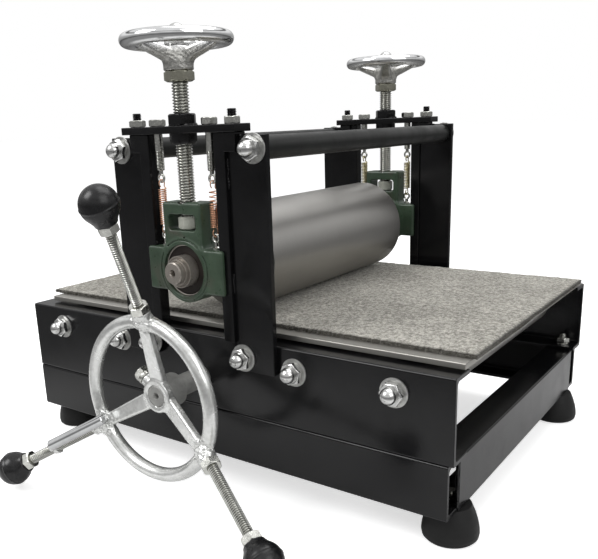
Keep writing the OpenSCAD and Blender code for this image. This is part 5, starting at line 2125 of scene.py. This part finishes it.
@dataclass
class DriveWheel:
    """The galvanised drive wheel with its threaded arms, knobs and pin."""

    rim_y: float = -253.0
    rim_r: float = 70.5
    rim_d: float = 12.5
    hub_r: float = 15.5
    hub: tuple[float, float] = (-246.0, -238.5)
    spoke_apex: float = -237.5
    spoke_tilt: float = 12.4
    spokes: tuple[float, float, float] = (89, 209, 329)
    spoke_reach: Pair = (9.0, 72.6)
    spoke_w: Pair = (16.0, 11.5)
    spoke_h: Pair = (8.0, 7.0)
    arm_apex: float = -227.016
    arm_tilt: float = 22.0
    arms: tuple[float, float, float] = (86, 210, 332)
    boss_start: float = 73.5
    boss_ends: tuple[float, float, float] = (88.8, 83.8, 88.8)
    boss_radii: tuple[float, float, float] = (7.6, 7.0, 7.6)
    bore: float = 10.0
    neck: float = 172.8
    rod_d: float = 9.6
    rod_pitch: float = 2.0
    rod_in: float = 15.0
    hexagon: Pair = (15.6, 7.5)
    knob_r: float = 16.0
    knob_foot: tuple[Pair, ...] = ((4.0, 0.0), (8.9, 0.0), (9.5, 0.5), (9.6, 1.2), (9.9, 2.0),
                                   (10.9, 4.0))
    bolt_y: float = -236.5
    bolt_angle: float = 149.0
    bolt_head: tuple[float, float, float] = (25.4, 13.4, 6.0)
    hub_collar: tuple[float, float, float] = (30.8, -239.2, -221.0)
    pin_off: float = 12.0
    pin_turn: float = -163.0
    pin: tuple[float, float] = (67.8, 65.0)
    pin_r: float = 4.9
    body: str = "lower_roller_group"

    def ways(self, degrees: float, tilt: float) -> tuple[Array, Array, Array]:
        """Directions of an arm: along it, square to it in its own plane, and round the wheel.

        Args:
            degrees: the arm's angle round the wheel.
            tilt: how far it leans out, in degrees.

        Returns:
            The three directions.
        """
        a, b = math.radians(degrees), math.radians(tilt)
        radial, out = np.array([math.cos(a), 0, math.sin(a)]), np.array([0.0, -1.0, 0.0])
        along = math.cos(b) * radial + math.sin(b) * out
        across = math.sin(b) * radial - math.cos(b) * out
        return along, across, np.array([-math.sin(a), 0, math.cos(a)])

    def arm(self, degrees: float, s: float = 0.0) -> Axis:
        """An arm's axis from the distance s along it.

        Args:
            degrees: the arm's angle.
            s: the distance.

        Returns:
            The axis, outwards.
        """
        along, across, _ = self.ways(degrees, self.arm_tilt)
        start = np.array([0, self.arm_apex, SIZE.lower_z])
        return Axis(tuple(start + s * along), tuple(along), tuple(across))

    def beside(self, s: float) -> Axis:
        """The pin's axis, in front of the left arm and a little above.

        Args:
            s: the distance along the arm.

        Returns:
            The axis, outwards.
        """
        along, across, round_ = self.ways(self.arms[1], self.arm_tilt)
        turn = math.radians(self.pin_turn)
        shift = self.pin_off * (math.cos(turn) * across + math.sin(turn) * round_)
        middle = np.array(self.arm(self.arms[1], s).at)
        return Axis(tuple(middle + shift), tuple(along), tuple(across))

    @property
    def bolt(self) -> Axis:
        """The set bolt's axis, outwards from the hub's middle."""
        a = math.radians(self.bolt_angle)
        return Axis((0, self.bolt_y, SIZE.lower_z), (math.cos(a), 0, math.sin(a)), (0, 1, 0))

    def shape(self, p: Array) -> Array:
        """Distance to the wheel: rim, spokes, hub, set bolt's boss and three welded rim bosses.

        Args:
            p: the points.

        Returns:
            The distance at each point.
        """
        wheel = Axis((0, self.rim_y, SIZE.lower_z), (0, 1, 0))
        centre = Axis((0, 0, SIZE.lower_z), (0, 1, 0))
        body = drum(p, centre, self.hub_r, *self.hub, 1.0)
        for degrees in self.spokes:
            along, _, round_ = self.ways(degrees, self.spoke_tilt)
            start = np.array([0, self.spoke_apex, SIZE.lower_z])
            first, last = (start + reach * along for reach in self.spoke_reach)
            spoke = strut(p, first, last, round_, self.spoke_w, self.spoke_h, 1.8)
            body = merge(body, spoke, 2.2)
        body = merge(body, hoop(p, wheel, self.rim_r, self.rim_d), 2.5)
        for degrees, end, radius in zip(self.arms, self.boss_ends, self.boss_radii):
            axis = self.arm(degrees)
            body = merge(body, drum(p, axis, radius, self.boss_start, end, 1.0), 2.2)
            foot = np.array(self.arm(degrees, (self.boss_start + end) / 2 - 2).at)
            near = np.exp(-(np.linalg.norm(p - foot, axis=-1) / 13) ** 4)
            body = body - near * (0.35 + 0.75 * waves(p, 9, 40 + int(degrees)))
        body = merge(body, drum(p, self.bolt, 7.0, 5, 21.75, 0.8), 1.5)
        body = carve(body, hoop(p, centre.along(self.hub[0] - 0.1), 11.0, 1.8), 0.3)
        return carve(body, drum(p, centre, self.bore, -300, -200, 0.1), 0.4)

    def wheel(self) -> None:
        """The casting."""
        skin = Skin()
        reach = self.boss_ends[0] + 3
        level_surface(skin, self.shape, (-reach, self.rim_y - 14, SIZE.lower_z - reach),
                      (reach, -224.0, SIZE.lower_z + reach), 1.0)
        piece("wheel_casting", skin, CAST_ZINC, self.body, "wheel_casting", ["drive_wheel"],
              cast=True)

    def rods(self) -> None:
        """The threaded arms, their nuts and the hub's set bolt."""
        rods, nuts, bolt = Skin(), Skin(), Skin()
        for degrees in self.arms:
            length = self.neck + self.rod_in - self.boss_start
            thread, root = threaded(self.arm(degrees, self.boss_start + 1), self.rod_d,
                                    self.rod_pitch, length)
            # Painted shade in the thread's roots.
            rods.loft(thread, darkening=0.75 * root)
            nuts.loft(nut(self.arm(degrees, self.neck - self.hexagon[1]), *self.hexagon))
        for degrees in (self.arms[0], self.arms[2]):
            nuts.loft(nut(self.arm(degrees, self.boss_ends[0] - 0.5), *self.hexagon))
        head_r, flats, height = self.bolt_head
        bolt.loft(collar(self.bolt, 8.2, 15, 22, head_r, 0.6, 36), closed=True)
        bolt.loft(nut(self.bolt.along(head_r), flats, height))
        bolt.loft(turned(self.bolt, [(4, 10), (4, 27)], 24))
        piece("threaded_arms", rods, ZINC, self.body, "zinc", ["arm_rods"])
        piece("arm_hexagons", nuts, ZINC, self.body, "zinc", ["arm_nuts"])
        piece("set_bolt", bolt, ZINC, self.body, "zinc", ["wheel_set_bolt"])

    def knobs(self) -> None:
        """Ball knobs: a conical neck with a lip, a parting ridge at the equator and a crown."""
        b, r = np.linspace(math.radians(-40), math.pi / 2, 45), self.knob_r
        ridge = 0.62 * np.exp(-((b / 0.04) ** 2))
        ball = np.stack([np.maximum((r + ridge) * np.cos(b), 0.04), 0.5 + r + r * np.sin(b)], -1)
        profile = np.vstack([self.knob_foot, ball])
        skin = Skin()
        for degrees in self.arms:
            skin.loft(turned(self.arm(degrees, self.neck), profile, 64))
        piece("ball_knobs", skin, KNOB, self.body, "knob_rubber", ["arm_knobs"])

    def side_pin(self) -> None:
        """The polished pin beside the left arm and the two lugs that hold it."""
        start, length = self.pin
        r = self.pin_r
        profile = [(r - 0.9, 0), (r, 0.9), (r, length - 0.9), (r - 0.9, length)]
        skin = Skin().loft(turned(self.beside(start), profile, 40))
        piece("bright_pin", skin, PIN, self.body, "stainless", ["side_pin"])
        lugs = Skin()
        for s in (self.boss_ends[1], start + length):
            left = self.arm(self.arms[1], s + 2)
            rod, pin, along = np.array(left.at), np.array(self.beside(s + 2).at), left.z

            def lug(p: Array) -> Array:
                """Distance to one lug: a round on the arm and a bar to the pin, lumpy with weld.

                Args:
                    p: the points.

                Returns:
                    The distance at each point.
                """
                body = strut(p, rod, pin, np.cross(pin - rod, along), (11, 8), (4, 3.5), 1.2)
                body = merge(body, drum(p, left, 6.6, -2, 2, 0.8), 1.5)
                return body - 0.35 * waves(p, 8, int(s))

            low, high = np.minimum(rod, pin) - 8, np.maximum(rod, pin) + 8
            level_surface(lugs, lug, low, high, 0.7)
        piece("pin_lugs", lugs, CAST_ZINC, self.body, "zinc", ["side_pin_lugs"], cast=True)

    def build(self) -> None:
        """Makes the wheel and all that turns with it."""
        self.wheel()
        self.rods()
        self.knobs()
        self.side_pin()
        axis = Axis((0, 0, SIZE.lower_z), (0, 1, 0))
        skin = Skin().loft(collar(axis, 2 * self.bore, *self.hub_collar, 0.9, 64), closed=True)
        piece("hub_collar", skin, GREY, self.body, "shaft_steel", ["shaft_collar"])


def main() -> None:
    """Builds the press."""
    logging.basicConfig(level=logging.INFO, format="%(message)s")
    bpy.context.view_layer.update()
    Studio().build()
    BaseFrame().build()
    Bed().build()
    Rollers().build()
    Fasteners().build()
    for side in Side:
        for hand in Hand:
            Upright(side, hand).build()
            Spring(side, hand).build()
    Crossbar.build()
    TieTubes().build()
    BearingCasting.build()
    PressureScrew(Side.NEAR, 14.0).build()
    PressureScrew(Side.FAR, 58.0, drop=3.5).build()
    DriveWheel().build()


if __name__ == "__main__":
    main()
